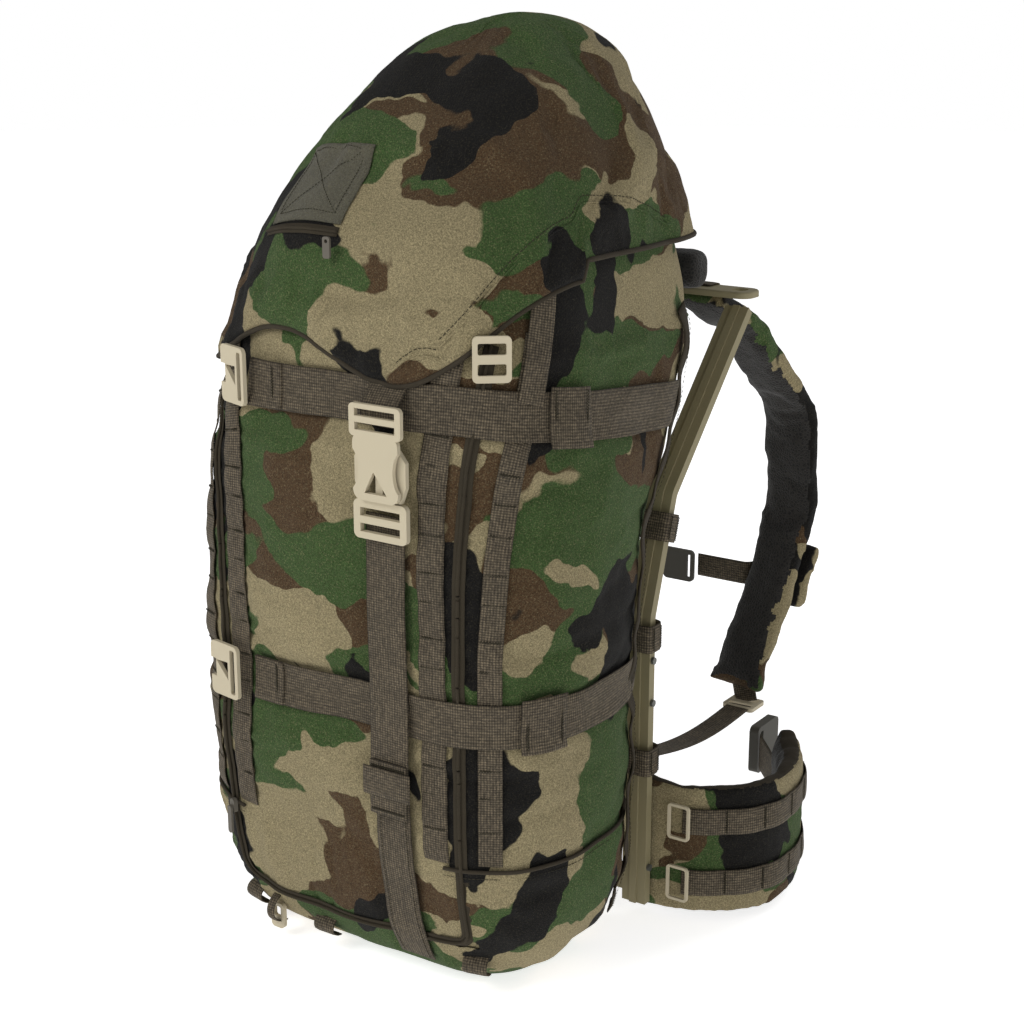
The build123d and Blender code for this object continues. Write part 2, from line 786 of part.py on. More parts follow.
def main():
    make_main_bag()
    make_bottom_boot()
    make_storm_collar()
    make_collar_drawcord()
    make_collar_cord_lock()
    make_front_zip()
    make_sewn_rows()
    make_compression_straps()
    make_strap_keepers()
    make_front_strap()
    make_front_strap_anchor()
    make_side_binding()
    make_top_ladder_lock()
    make_lid()
    make_lid_patch()
    make_lid_zip()
    make_lid_zip_pull()
    make_lid_strap()
    make_front_buckle_female()
    make_front_buckle_male()
    make_front_buckle_arms()
    make_hooks()
    make_front_zip_slider()
    make_side_buckle()
    make_bottom_loops()
    make_bottom_hook()
    make_frame_stays()
    make_frame_bars()
    make_frame_top_plate()
    make_frame_screws()
    make_stay_loops()
    make_back_pad()
    make_lumbar_pad()
    make_shoulder_yoke()
    make_haul_handle()
    make_shoulder_straps()
    make_strap_rows()
    make_lower_webbing()
    make_strap_adjusters()
    make_sternum_strap()
    make_shoulder_pouch()
    make_hip_wings()
    make_wing_rows()
    make_wing_buckles()
    make_wire_loops()


main()
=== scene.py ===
import bmesh
import bpy
import json
import math
import numpy as np
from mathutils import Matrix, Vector, noise
from mathutils.bvhtree import BVHTree


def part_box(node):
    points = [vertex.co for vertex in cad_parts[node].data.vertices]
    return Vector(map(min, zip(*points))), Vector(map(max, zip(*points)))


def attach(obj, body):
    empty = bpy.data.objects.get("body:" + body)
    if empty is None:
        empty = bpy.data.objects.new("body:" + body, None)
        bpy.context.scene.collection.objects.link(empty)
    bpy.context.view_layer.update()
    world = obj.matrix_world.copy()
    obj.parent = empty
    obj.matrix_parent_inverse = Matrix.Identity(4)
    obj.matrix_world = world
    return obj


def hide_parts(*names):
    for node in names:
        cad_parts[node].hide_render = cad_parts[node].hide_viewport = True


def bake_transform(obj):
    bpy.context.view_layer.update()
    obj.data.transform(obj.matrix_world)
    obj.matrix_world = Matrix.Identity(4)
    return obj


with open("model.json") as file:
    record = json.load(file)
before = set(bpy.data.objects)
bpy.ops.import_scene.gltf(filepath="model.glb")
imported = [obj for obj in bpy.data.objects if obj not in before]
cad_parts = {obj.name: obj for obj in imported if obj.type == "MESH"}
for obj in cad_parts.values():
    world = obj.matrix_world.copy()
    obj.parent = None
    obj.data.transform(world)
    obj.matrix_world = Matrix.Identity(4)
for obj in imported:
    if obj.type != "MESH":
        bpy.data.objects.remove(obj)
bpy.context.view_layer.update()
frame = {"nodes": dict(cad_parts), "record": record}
nodes = frame["nodes"]
UP = Vector((0, 0, 1))
RIGHT = Vector((1, 0, 0))
FRONT = Vector((0, -1, 0))


# ---------------------------------------------------------------- camera, floor and light
AZIMUTH, ELEVATION = 34, 16          # degrees
LENS = 66.8
AIM = Vector((0.042, 0.050, 0.374))
DISTANCE = 1.680
DAYLIGHT = 0.37                      # the world as a light; the camera sees it as white


def make_camera():
    azimuth, elevation = math.radians(AZIMUTH), math.radians(ELEVATION)
    back = Vector((math.sin(azimuth) * math.cos(elevation), -math.cos(azimuth) * math.cos(elevation),
                   math.sin(elevation)))
    data = bpy.data.cameras.new("camera")
    data.lens = LENS
    data.sensor_width = 36
    camera = bpy.data.objects.new("camera", data)
    bpy.context.scene.collection.objects.link(camera)
    camera.location = AIM + back * DISTANCE
    camera.rotation_euler = (-back).to_track_quat("-Z", "Y").to_euler()
    bpy.context.scene.camera = camera


def make_light(name, spot, target, size, power, colour=(1, 1, 1)):
    data = bpy.data.lights.new(name, "AREA")
    data.size = size
    data.energy = power
    data.color = colour
    lamp = bpy.data.objects.new(name, data)
    bpy.context.scene.collection.objects.link(lamp)
    lamp.location = spot
    lamp.rotation_euler = (Vector(target) - Vector(spot)).to_track_quat("-Z", "Y").to_euler()


def make_stage():
    world = bpy.data.worlds.new("studio")
    bpy.context.scene.world = world
    world.use_nodes = True
    sky = world.node_tree.nodes["Background"]
    sky.inputs["Color"].default_value = (1, 1, 1, 1)
    seen = put(world.node_tree, "LightPath").outputs["Is Camera Ray"]
    world.node_tree.links.new(grey(world.node_tree, seen, DAYLIGHT, 1.0), sky.inputs["Strength"])
    make_light("key", (-0.9, -2.2, 2.3), (0, 0, 0.35), 1.3, 36)
    make_light("fill", (2.5, -1.3, 1.2), (0, 0, 0.4), 1.8, 9)
    make_light("rim", (0.8, 2.4, 1.9), (0, 0, 0.5), 1.4, 14)
    bpy.ops.mesh.primitive_circle_add(vertices=64, radius=9, fill_type="NGON")
    floor = bpy.context.object
    floor.name = "studio_floor"
    material, _, shader = new_material("studio_floor")
    shader.inputs["Base Color"].default_value = (0.93, 0.93, 0.93, 1)
    shader.inputs["Roughness"].default_value = 0.8
    shader.inputs["Specular IOR Level"].default_value = 0.1
    shader.inputs["Emission Color"].default_value = (1, 1, 1, 1)
    shader.inputs["Emission Strength"].default_value = 0.70
    floor.data.materials.append(material)
    bpy.context.scene.view_settings.view_transform = "Standard"


# ---------------------------------------------------------------- materials
def srgb(*colour):
    """A display colour, 0 to 255, as the linear colour that a shader wants."""
    out = []
    for c in colour:
        c /= 255
        out.append(c / 12.92 if c <= 0.04045 else ((c + 0.055) / 1.055) ** 2.4)
    return tuple(out) + (1.0,)


TAN = srgb(138, 127, 97)
GREEN = srgb(58, 78, 42)
BROWN = srgb(72, 55, 37)
BLACK = srgb(21, 20, 19)
FLECK = srgb(150, 140, 108)


def new_material(name):
    material = bpy.data.materials.new(name)
    material.use_nodes = True
    tree = material.node_tree
    return material, tree, tree.nodes["Principled BSDF"]


def put(tree, kind, inputs=None, **settings):
    """Add a shader node; inputs are sockets to link or values to set."""
    made = tree.nodes.new("ShaderNode" + kind)
    for key, value in settings.items():
        setattr(made, key, value)
    for key, value in (inputs or {}).items():
        if isinstance(value, bpy.types.NodeSocket):
            tree.links.new(value, made.inputs[key])
        else:
            made.inputs[key].default_value = value
    return made


def maths(tree, operation, a, b=0.0):
    return put(tree, "Math", {0: a, 1: b}, operation=operation).outputs[0]


def step(tree, value, low, high):
    """0 below low, 1 above high."""
    return put(tree, "MapRange", {"Value": value, "From Min": low, "From Max": high}).outputs[0]


def paint(tree, mask, below, above):
    """Colour above shows where mask is 1."""
    mixed = put(tree, "Mix", {0: mask, 6: below, 7: above}, data_type="RGBA")
    return mixed.outputs[2]


def times(tree, colour, shade):
    """A colour made lighter or darker by a grey."""
    mixed = put(tree, "Mix", {0: 1.0, 6: colour, 7: shade}, data_type="RGBA", blend_type="MULTIPLY")
    return mixed.outputs[2]


def noisy(tree, vector, scale, detail=2.0, rough=0.5, distortion=0.0):
    return put(tree, "TexNoise", {"Vector": vector, "Scale": scale, "Detail": detail,
                                  "Roughness": rough, "Distortion": distortion})


def bands(tree, vector, scale, distortion, direction="X", detail=2.0):
    """Soft stripes across one direction."""
    inputs = {"Vector": vector, "Scale": scale, "Distortion": distortion, "Detail": detail}
    return put(tree, "TexWave", inputs, bands_direction=direction).outputs[0]


def toned(tone, gain, lift=0.0):
    """A plain colour made lighter or darker."""
    return tuple(min(1, c * gain + lift) for c in tone[:3]) + (1,)


def coat(tree, shader, colour, settings):
    """Link the colour to the shader and set its plain values by socket name."""
    tree.links.new(colour, shader.inputs["Base Color"])
    for socket, value in settings.items():
        shader.inputs[socket].default_value = value


def objects_space(tree):
    return put(tree, "TexCoord").outputs["Object"]


def grey(tree, value, low, high):
    """Turn 0 to 1 into a grey between low and high."""
    return put(tree, "MapRange", {"Value": value, "To Min": low, "To Max": high}).outputs[0]


def bumped(tree, shader, height, distance, strength=1.0):
    made = put(tree, "Bump", {"Height": height, "Distance": distance, "Strength": strength})
    tree.links.new(made.outputs[0], shader.inputs["Normal"])


# tint, size of its blotches per metre, share left bare, stretch, offset into the noise
CAMO_LAYERS = (
    (BROWN, 6.5, 0.50, (1, 1, 1.5), 3),
    (GREEN, 7.0, 0.528, (1, 1, 1.7), 11),
    (TAN, 10.0, 0.66, (1, 1, 1.2), 23),
    (BLACK, 9.0, 0.60, (1.3, 1.3, 0.8), 29),
)
CAMO_WARP = 0.045          # how far blotch edges wander, metres
CAMO_RAGGED = 0.004


def wander(tree, place, scale, reach):
    """Noise that moves a point by up to half of reach."""
    drift = noisy(tree, place, scale, 2).outputs["Color"]
    drift = put(tree, "VectorMath", {0: drift, 1: (0.5, 0.5, 0.5)}, operation="SUBTRACT").outputs[0]
    return put(tree, "VectorMath", {0: drift, "Scale": reach}, operation="SCALE").outputs[0]


def camo_colour(tree):
    """Blotches of warped noise over tan, black last; gives place, colour and how much pale flecks show."""
    place = objects_space(tree)
    warped = place
    for scale, reach in ((22, CAMO_WARP), (90, CAMO_RAGGED)):
        moved = wander(tree, place, scale, reach)
        warped = put(tree, "VectorMath", {0: warped, 1: moved}, operation="ADD").outputs[0]
    colour = TAN
    for tint, scale, limit, stretch, seed in CAMO_LAYERS:
        offset = (seed, seed * 0.7, seed * 1.3)
        mapped = put(tree, "Mapping", {"Vector": warped, "Location": offset, "Scale": stretch}).outputs[0]
        field = noisy(tree, mapped, scale, 1.0, 0.4, 0.5).outputs[0]
        cover = step(tree, field, limit - 0.003, limit + 0.003)
        colour = paint(tree, cover, colour, tint)
    return place, colour, grey(tree, cover, 0.30, 0.07)


def camo_material(name):
    material, tree, shader = new_material(name)
    place, colour, fleck_share = camo_colour(tree)
    fade = noisy(tree, place, 7, 3).outputs[0]
    heather = step(tree, noisy(tree, place, 900, 2, 0.7).outputs[0], 0.34, 0.66)
    specks = step(tree, noisy(tree, place, 520, 1, 0.6).outputs[0], 0.30, 0.70)
    flecks = step(tree, noisy(tree, place, 760, 2, 0.6).outputs[0], 0.52, 0.74)
    colour = paint(tree, maths(tree, "MULTIPLY", flecks, fleck_share), colour, FLECK)
    colour = times(tree, colour, grey(tree, fade, 0.84, 1.12))
    colour = times(tree, colour, grey(tree, heather, 0.62, 1.36))
    colour = times(tree, colour, grey(tree, specks, 0.86, 1.14))
    twill = put(tree, "Mapping", {"Vector": place, "Rotation": (0.5, 0.6, 0.8)}).outputs[0]
    weave = bands(tree, twill, 260, 1.5, detail=1.0)
    crumple = noisy(tree, place, 60, 4, 0.6).outputs[0]
    height = maths(tree, "ADD", maths(tree, "MULTIPLY", weave, 0.25), maths(tree, "MULTIPLY", heather, 0.7))
    height = maths(tree, "ADD", height, maths(tree, "MULTIPLY", crumple, 1.6))
    bumped(tree, shader, height, 0.0006, 0.8)
    coat(tree, shader, colour, {"Roughness": 0.92, "Specular IOR Level": 0.10,
                                "Sheen Weight": 0.03, "Sheen Roughness": 0.6})
    return material


def webbing_material(name, tone, by_length):
    """Woven strap: ribs along it, weft across it, pale flecks; by_length lays them out by the strap's UV."""
    material, tree, shader = new_material(name)
    coordinates = put(tree, "TexCoord")
    place = coordinates.outputs["Object"]
    if by_length:
        run = coordinates.outputs["UV"]
        ribs = bands(tree, run, 125, 0.6, "Y")
        weft = bands(tree, run, 150, 0.8)
        fleck_place = put(tree, "Mapping", {"Vector": run, "Scale": (380, 750, 1)}).outputs[0]
        fleck = put(tree, "TexVoronoi", {"Vector": fleck_place, "Scale": 1.0}).outputs["Color"]
        fleck = put(tree, "SeparateXYZ", {0: fleck}).outputs["X"]
    else:
        ribs = bands(tree, place, 125, 1.0, "DIAGONAL")
        weft = bands(tree, place, 150, 1.0, "Z")
        fleck = noisy(tree, place, 900, 1, 0.7).outputs[0]
    colour = paint(tree, step(tree, fleck, 0.25, 0.95), tone, toned(tone, 1.9))
    colour = times(tree, colour, grey(tree, ribs, 0.62, 1.26))
    colour = times(tree, colour, grey(tree, weft, 0.56, 1.30))
    colour = times(tree, colour, grey(tree, noisy(tree, place, 30, 3).outputs[0], 0.8, 1.2))
    bumped(tree, shader, maths(tree, "ADD", ribs, weft), 0.00035, 0.9)
    coat(tree, shader, colour, {"Roughness": 0.78, "Specular IOR Level": 0.3})
    return material


def plastic_material(name, tone, rough=0.5, grain=700, wear=0.35):
    """Moulded plastic or painted metal with a fine grain and paler worn edges."""
    material, tree, shader = new_material(name)
    place = objects_space(tree)
    cloud = noisy(tree, place, 35, 4).outputs[0]
    edge = step(tree, put(tree, "NewGeometry").outputs["Pointiness"], 0.52, 0.62)
    scuff = maths(tree, "MULTIPLY", edge, step(tree, noisy(tree, place, 160, 3).outputs[0], 0.35, 0.65))
    scuff = maths(tree, "MULTIPLY", scuff, wear)
    colour = paint(tree, scuff, tone, toned(tone, 1.7, 0.02))
    colour = times(tree, colour, grey(tree, cloud, 0.88, 1.12))
    bumped(tree, shader, noisy(tree, place, grain, 2, 0.6).outputs[0], 0.00012, 0.6)
    coat(tree, shader, colour, {})
    tree.links.new(grey(tree, cloud, rough - 0.08, rough + 0.1), shader.inputs["Roughness"])
    return material


def mesh_material(name, tone):
    """Padded spacer mesh: small open cells over a dark ground, with painted shade in the holes."""
    material, tree, shader = new_material(name)
    place = objects_space(tree)
    cells = put(tree, "TexVoronoi", {"Vector": place, "Scale": 330}, feature="DISTANCE_TO_EDGE").outputs[0]
    wall = step(tree, cells, 0.22, 0.08)
    # cell insides at a quarter of the wall tone: the dark ground and painted shade in the open holes
    colour = paint(tree, wall, toned(tone, 0.25), tone)
    colour = times(tree, colour, grey(tree, noisy(tree, place, 25, 3).outputs[0], 0.8, 1.2))
    bumped(tree, shader, wall, 0.0005, 0.8)
    coat(tree, shader, colour, {"Roughness": 0.9, "Sheen Weight": 0.1})
    return material


def cloth_material(name, tone, scale=1100):
    """Plain woven cloth, thread or tape, with painted shade in its folds."""
    material, tree, shader = new_material(name)
    place = objects_space(tree)
    thread = noisy(tree, place, scale, 2, 0.7).outputs[0]
    fold = noisy(tree, place, 45, 3).outputs[0]
    # the fold noise also darkens the colour where it is low: painted shade in the folds
    colour = times(tree, times(tree, tone, grey(tree, thread, 0.65, 1.35)), grey(tree, fold, 0.85, 1.15))
    bumped(tree, shader, maths(tree, "ADD", thread, fold), 0.0006, 0.8)
    coat(tree, shader, colour, {"Roughness": 0.9, "Specular IOR Level": 0.2})
    return material


def loop_material(name, tone):
    """Looped pile of a touch-fastener patch."""
    material, tree, shader = new_material(name)
    place = objects_space(tree)
    tuft = step(tree, noisy(tree, place, 700, 4, 0.75, 1.0).outputs[0], 0.34, 0.66)
    patchy = noisy(tree, place, 90, 3).outputs[0]
    colour = times(tree, times(tree, tone, grey(tree, tuft, 0.5, 1.5)), grey(tree, patchy, 0.85, 1.15))
    bumped(tree, shader, tuft, 0.0016, 1.0)
    coat(tree, shader, colour, {"Roughness": 1.0, "Sheen Weight": 0.12})
    return material


CAMO = camo_material("camo_cloth")
WEB = webbing_material("webbing", srgb(72, 64, 51), True)
WEB_CAD = webbing_material("webbing_sewn", srgb(72, 64, 51), False)
TAPE = cloth_material("binding_tape", srgb(56, 50, 40))
THREAD = cloth_material("thread", srgb(60, 56, 44), 2200)
COLLAR = cloth_material("collar_cloth", srgb(70, 76, 58))
LINING = mesh_material("pad_mesh", srgb(36, 33, 29))
TAN_PLASTIC = plastic_material("tan_plastic", srgb(127, 116, 92), 0.36)
DARK_PLASTIC = plastic_material("dark_plastic", srgb(58, 54, 44), 0.45)
KHAKI = plastic_material("khaki_plastic", srgb(126, 119, 94), 0.5, 500, 0.5)
STEEL = plastic_material("screw_steel", srgb(70, 70, 68), 0.3, 900, 0.5)
STEEL.node_tree.nodes["Principled BSDF"].inputs["Metallic"].default_value = 0.9
ZIP = cloth_material("zip", srgb(56, 50, 39), 1600)
LOOP = loop_material("loop_patch", srgb(104, 100, 78))
CORD = cloth_material("cord", srgb(70, 66, 48), 1500)

SLOTS = {m["slot"]: m.get("nodes", []) for m in frame["record"].get("materials", [])}
FINISH = {"camo_cloth": CAMO, "collar_cloth": COLLAR, "pad_mesh": LINING, "webbing": WEB_CAD,
          "tan_plastic": TAN_PLASTIC, "dark_plastic": DARK_PLASTIC, "khaki_plastic": KHAKI, "zip": ZIP,
          "loop_patch": LOOP, "cord": CORD, "screw_steel": STEEL}


# ---------------------------------------------------------------- mesh helpers
def new_object(name, points, faces, material, body, uv=None):
    mesh = bpy.data.meshes.new(name)
    mesh.from_pydata([tuple(p) for p in points], [], faces)
    mesh.materials.append(material)
    mesh.polygons.foreach_set("use_smooth", [True] * len(mesh.polygons))
    if uv is not None:
        layer = mesh.uv_layers.new(name="along")
        corner = np.zeros(len(mesh.loops), np.int32)
        mesh.loops.foreach_get("vertex_index", corner)
        layer.data.foreach_set("uv", np.asarray(uv, np.float32)[corner].ravel())
    mesh.validate()
    piece = bpy.data.objects.new(name, mesh)
    bpy.context.scene.collection.objects.link(piece)
    if body:
        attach(piece, body)
    return piece


def tree_of(*objs):
    points, faces = [], []
    for o in objs:
        base = len(points)
        points += [v.co.copy() for v in o.data.vertices]
        faces += [[base + i for i in p.vertices] for p in o.data.polygons]
    return BVHTree.FromPolygons(points, faces)


def struck(tree, origin, direction, reach=10.0):
    """Where a ray meets a surface, or None."""
    return tree.ray_cast(origin, direction, reach)[0]


def ring_faces(levels, count):
    """Quads between closed rings of points, from the lowest ring up."""
    faces = []
    for a in range(0, (levels - 1) * count, count):
        for k in range(count):
            j = (k + 1) % count
            faces.append([a + k, a + j, a + count + j, a + count + k])
    return faces


def final_mesh(piece):
    """Swap a piece's mesh for the one its modifiers give."""
    graph = bpy.context.evaluated_depsgraph_get()
    done = bpy.data.meshes.new_from_object(piece.evaluated_get(graph))
    piece.modifiers.clear()
    old = piece.data
    piece.data = done
    bpy.data.meshes.remove(old)


def swell(piece, pins, pressure, spare, cap, frames=20):
    """Cloth under pressure: pinned points stay, the others bulge and wrinkle by up to cap metres."""
    group = piece.vertex_groups.new(name="held")
    for i, w in enumerate(pins):
        if w > 0:
            group.add([i], float(w), "REPLACE")
    rest = np.array([v.co for v in piece.data.vertices])
    cloth = piece.modifiers.new("cloth", "CLOTH")
    settings = cloth.settings
    settings.quality = 4
    settings.mass = 0.3
    settings.tension_stiffness = 12
    settings.compression_stiffness = 12
    settings.shear_stiffness = 5
    settings.bending_stiffness = 0.35
    settings.air_damping = 3
    settings.vertex_group_mass = "held"
    settings.pin_stiffness = 1
    settings.shrink_min = -spare
    settings.use_pressure = True
    settings.uniform_pressure_force = pressure
    settings.effector_weights.gravity = 0
    cloth.collision_settings.use_collision = False
    cloth.collision_settings.use_self_collision = False
    cloth.point_cache.frame_start = 1
    cloth.point_cache.frame_end = frames
    scene = bpy.context.scene
    for f in range(1, frames + 1):
        scene.frame_set(f)
    final_mesh(piece)
    scene.frame_set(1)
    moved = np.array([v.co for v in piece.data.vertices])
    if len(moved) == len(rest):
        away = moved - rest
        size = np.linalg.norm(away, axis=1)
        keep = np.minimum(1, cap / np.maximum(size, 1e-9))
        moved = rest + away * keep[:, None]
        piece.data.vertices.foreach_set("co", moved.astype(np.float32).ravel())
        piece.data.update()


def lerp_table(table, at):
    for (a, *low), (b, *high) in zip(table, table[1:]):
        if at <= b:
            part = max(0.0, (at - a) / (b - a))
            return [x + part * (y - x) for x, y in zip(low, high)]
    return list(table[-1][1:])


# ---------------------------------------------------------------- bag
# height, x and y of the bag's middle, front to back and side to side
BAG_AXIS = ((0.0, 0.0, -0.012), (0.08, 0.0, -0.032), (0.32, 0.0, -0.034), (0.40, 0.002, -0.021),
            (0.46, 0.004, -0.003), (0.52, 0.008, 0.017), (0.58, 0.014, 0.028), (0.64, 0.018, 0.031))
UPPER, LOWER, BOOT_TOP = 0.512, 0.258, 0.130      # heights of the two straps and the boot's seam
STRAP_GRIP = 0.021                                # half the height that a strap holds
SEWN_LINES = (0.101, 0.118, 0.140)                # inner row, zip and outer row, from the middle
UNDERSIDE, BAG_TOP = 0.0042, 0.639
BAG_HALF, BAG_CORNER = 0.187, 0.090               # half width and corner radius up to TAPER_FROM
TAPER_FROM, TAPER = 0.45, 0.19                    # above it the half width shrinks by this much a metre
PANEL_HALF, PANEL_FOOT = 0.128, 0.047             # front panel, which the boot leaves bare
TURNS = 264


def bag_point(tree, angle, height):
    """Outside of a CAD skin at an angle about the bag's axis; 0 is the front, 90 the right side."""
    x, y = lerp_table(BAG_AXIS, height)
    out = Vector((math.sin(angle), -math.cos(angle), 0))
    return struck(tree, Vector((x, y, height)) + out * 0.5, -out), out


def fold_field(p, seed, along, across):
    """Soft creases: noise stretched one way."""
    return noise.noise(Vector((p.x * across + seed, p.y * across, p.z * along)))


def make_bag():
    skin = tree_of(nodes["main_bag"])
    heights = [0.0045, 0.012, 0.021] + [0.030 + 0.0061 * i for i in range(101)]
    heights = [z for z in heights if z < BAG_TOP]
    rows = []
    pins = []
    for z in heights:
        row = []
        for k in range(TURNS):
            angle = 2 * math.pi * k / TURNS
            hit, _ = bag_point(skin, angle, z)
            row.append(hit)
            pins.append(bag_pin(hit, angle, z))
        rows.append(row)
    x, y = lerp_table(BAG_AXIS, 0)
    last = 1.0
    for level in range(1, 7):
        share = 1 - level / 7
        rows.insert(0, [Vector((x + (p.x - x) * share / last, y + (p.y - y) * share / last, UNDERSIDE))
                        for p in rows[0]])
        last = share
        pins = [1.0] * TURNS + pins
    points = [p for row in rows for p in row]
    faces = ring_faces(len(rows), TURNS)
    faces.append(list(range(TURNS))[::-1])
    bag = new_object("bag_shell", points, faces, CAMO, None)
    swell(bag, pins, pressure=3.2, spare=0.022, cap=0.011)
    settle_bag(bag)
    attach(bag, "pack")
    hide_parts("main_bag")
    return bag


def bag_pin(p, angle, z):
    """How firmly a point of the bag is held: at straps, sewn rows, seams and the frame."""
    hold = 0.0
    front = math.cos(angle) > 0.15
    if (front or p.x > 0) and min(abs(z - UPPER), abs(z - LOWER)) < STRAP_GRIP:
        hold = 1.0
    if front:
        if z < 0.57 and any(abs(abs(p.x) - line) < 0.006 for line in SEWN_LINES):
            hold = max(hold, 0.9)
        if 0.042 < p.x < 0.082 and z < 0.43:
            hold = max(hold, 0.7)
    if abs(z - BOOT_TOP) < 0.004 or z < 0.02:
        hold = 1.0
    if z > 0.56:
        hold = 1.0
    if p.y > 0.05 and abs(p.x) > 0.13:
        hold = 1.0
    if math.cos(angle) < -0.5:
        hold = max(hold, 0.8)
    return hold


def settle_bag(bag):
    """Straps press in, rows pull in, cloth between them is full and creased."""
    for v in bag.data.vertices:
        p = v.co
        x, y = lerp_table(BAG_AXIS, p.z)
        out = Vector((p.x - x, p.y - y, 0))
        if out.length < 0.05 or p.z < 0.006:
            continue
        out.normalize()
        facing = -out.y
        move = 0.0
        belt = min(abs(p.z - UPPER), abs(p.z - LOWER))
        if facing > -0.3:
            move -= 0.0028 * math.exp(-(belt / 0.022) ** 2)
            crease = fold_field(p, 3, 90, 14) * math.exp(-((belt - 0.03) / 0.03) ** 2)
            move += 0.0040 * crease
        if facing > 0.1:
            for line in SEWN_LINES:
                move -= 0.0014 * math.exp(-((abs(p.x) - line) / 0.008) ** 2)
            pucker = noise.noise(Vector((p.x * 12, p.y * 12, p.z * 75)))
            move += 0.0016 * pucker * math.exp(-((abs(p.x) - 0.12) / 0.03) ** 2)
        move += 0.0042 * noise.noise(p * 17 + Vector((4, 0, 0)))
        move += 0.0018 * noise.noise(Vector((p.x * 40, p.y * 40, p.z * 70)))
        if p.z > 0.55:
            move = min(move, 0) - 0.0015
        v.co = p + out * move


def surface(tree, origin, direction):
    return tree.ray_cast(Vector(origin), Vector(direction).normalized())[:2]


# ---------------------------------------------------------------- tapes, tubes and stitches
WIDE, NARROW = 0.038, 0.025          # widths of webbing
THICK, THIN = 0.0016, 0.0014         # thicknesses of webbing
TACK_PITCH = 0.0275                  # between the tacks of a sewn row
TACK_DEPTH = 0.0022
THREAD_PITCH = 0.0036
THREAD_SHARE = 0.68                  # part of a stitch that shows


def smooth_path(points, times_over=1):
    for _ in range(times_over):
        inner = [(a + b * 2 + c) / 4 for a, b, c in zip(points, points[1:], points[2:])]
        points = [points[0]] + inner + [points[-1]]
    return points


def straight(start, end, count, bow=Vector()):
    """Points from start to end, with bow added at the middle."""
    shares = [i / (count - 1) for i in range(count)]
    return [start.lerp(end, s) + bow * math.sin(math.pi * s) for s in shares]


def tape_grid(centre, out, width, tree=None, lift=0.001, columns=9, smooth=2, reach=0.03):
    """Rows of points across a strap that lies on a surface; centre and out are lists."""
    count = len(centre)
    grid = []
    for i in range(count):
        ahead = (centre[min(i + 1, count - 1)] - centre[max(i - 1, 0)]).normalized()
        side = ahead.cross(out[i]).normalized()
        normal = side.cross(ahead).normalized()
        wide = width[i] if isinstance(width, (list, tuple)) else width
        row = []
        for c in range(columns):
            p = centre[i] + side * (wide * (c / (columns - 1) - 0.5))
            if tree:
                hit, _, _, _ = tree.ray_cast(p + normal * reach, -normal, 2.5 * reach)
                p = (hit if hit else p) + normal * lift
            row.append(p)
        grid.append((row, normal))
    rows = [g[0] for g in grid]
    for _ in range(smooth):
        rows = [rows[0]] + [[(a + b * 2 + c) / 4 for a, b, c in zip(r0, r1, r2)]
                            for r0, r1, r2 in zip(rows, rows[1:], rows[2:])] + [rows[-1]]
        rows = [smooth_path(r) for r in rows]
    return rows, [g[1] for g in grid]


def tape(name, rows, outs, thickness, material, body, wave=None):
    """Closed strap mesh from rows of points, with its length and width as UV."""
    count, columns = len(rows), len(rows[0])
    points, uv = [], []
    length = 0.0
    middle = columns // 2
    for i, (row, out) in enumerate(zip(rows, outs)):
        if i:
            length += (row[middle] - rows[i - 1][middle]).length
        rise = wave(length) if wave else 0.0
        for layer in (1, 0):
            for c, p in enumerate(row):
                edge = 0.72 if c in (0, columns - 1) else 1.0
                high = thickness * (edge if layer else 1 - edge)
                points.append(p + out * (high + rise))
                uv.append((length, (row[0] - p).length))
    ring = 2 * columns
    faces = []
    for i in range(count - 1):
        a, b = i * ring, (i + 1) * ring
        for c in range(columns - 1):
            faces.append([a + c, a + c + 1, b + c + 1, b + c])
            faces.append([a + columns + c, b + columns + c, b + columns + c + 1, a + columns + c + 1])
        faces.append([a, b, b + columns, a + columns])
        faces.append([a + columns - 1, a + 2 * columns - 1, b + 2 * columns - 1, b + columns - 1])
    for a, flip in ((0, False), ((count - 1) * ring, True)):
        for c in range(columns - 1):
            face = [a + c, a + columns + c, a + columns + c + 1, a + c + 1]
            faces.append(face[::-1] if flip else face)
    return new_object(name, points, faces, material, body, uv)


def loose_tape(name, path, outs, width, body, thickness=THIN, columns=7, smooth=0):
    """Webbing that lies on nothing; outs is one direction or one for each point."""
    if isinstance(outs, Vector):
        outs = [outs] * len(path)
    rows, normals = tape_grid(path, outs, width, None, 0, columns, smooth)
    return tape(name, rows, normals, thickness, WEB, body)


def tube(name, path, radius, material, body, closed=False, sides=8):
    points, faces = [], []
    count = len(path)
    for i, p in enumerate(path):
        ahead = (path[(i + 1) % count if closed else min(i + 1, count - 1)] -
                 path[(i - 1) % count if closed else max(i - 1, 0)]).normalized()
        side = ahead.cross(UP)
        side = side.normalized() if side.length > 0.05 else Vector((1, 0, 0))
        rise = side.cross(ahead).normalized()
        for k in range(sides):
            turn = 2 * math.pi * k / sides
            points.append(p + side * (radius * math.cos(turn)) + rise * (radius * math.sin(turn)))
    for i in range(count if closed else count - 1):
        j = (i + 1) % count
        for k in range(sides):
            m = (k + 1) % sides
            faces.append([i * sides + k, i * sides + m, j * sides + m, j * sides + k])
    if not closed:
        faces.append(list(range(sides))[::-1])
        faces.append([(count - 1) * sides + k for k in range(sides)])
    return new_object(name, points, faces, material, body)


def resample(path, pitch):
    """Points an even distance apart along a path."""
    out, carry = [path[0]], 0.0
    for a, b in zip(path, path[1:]):
        run = (b - a).length
        at = pitch - carry
        while at <= run:
            out.append(a.lerp(b, at / run))
            at += pitch
        carry = (carry + run) % pitch
    return out


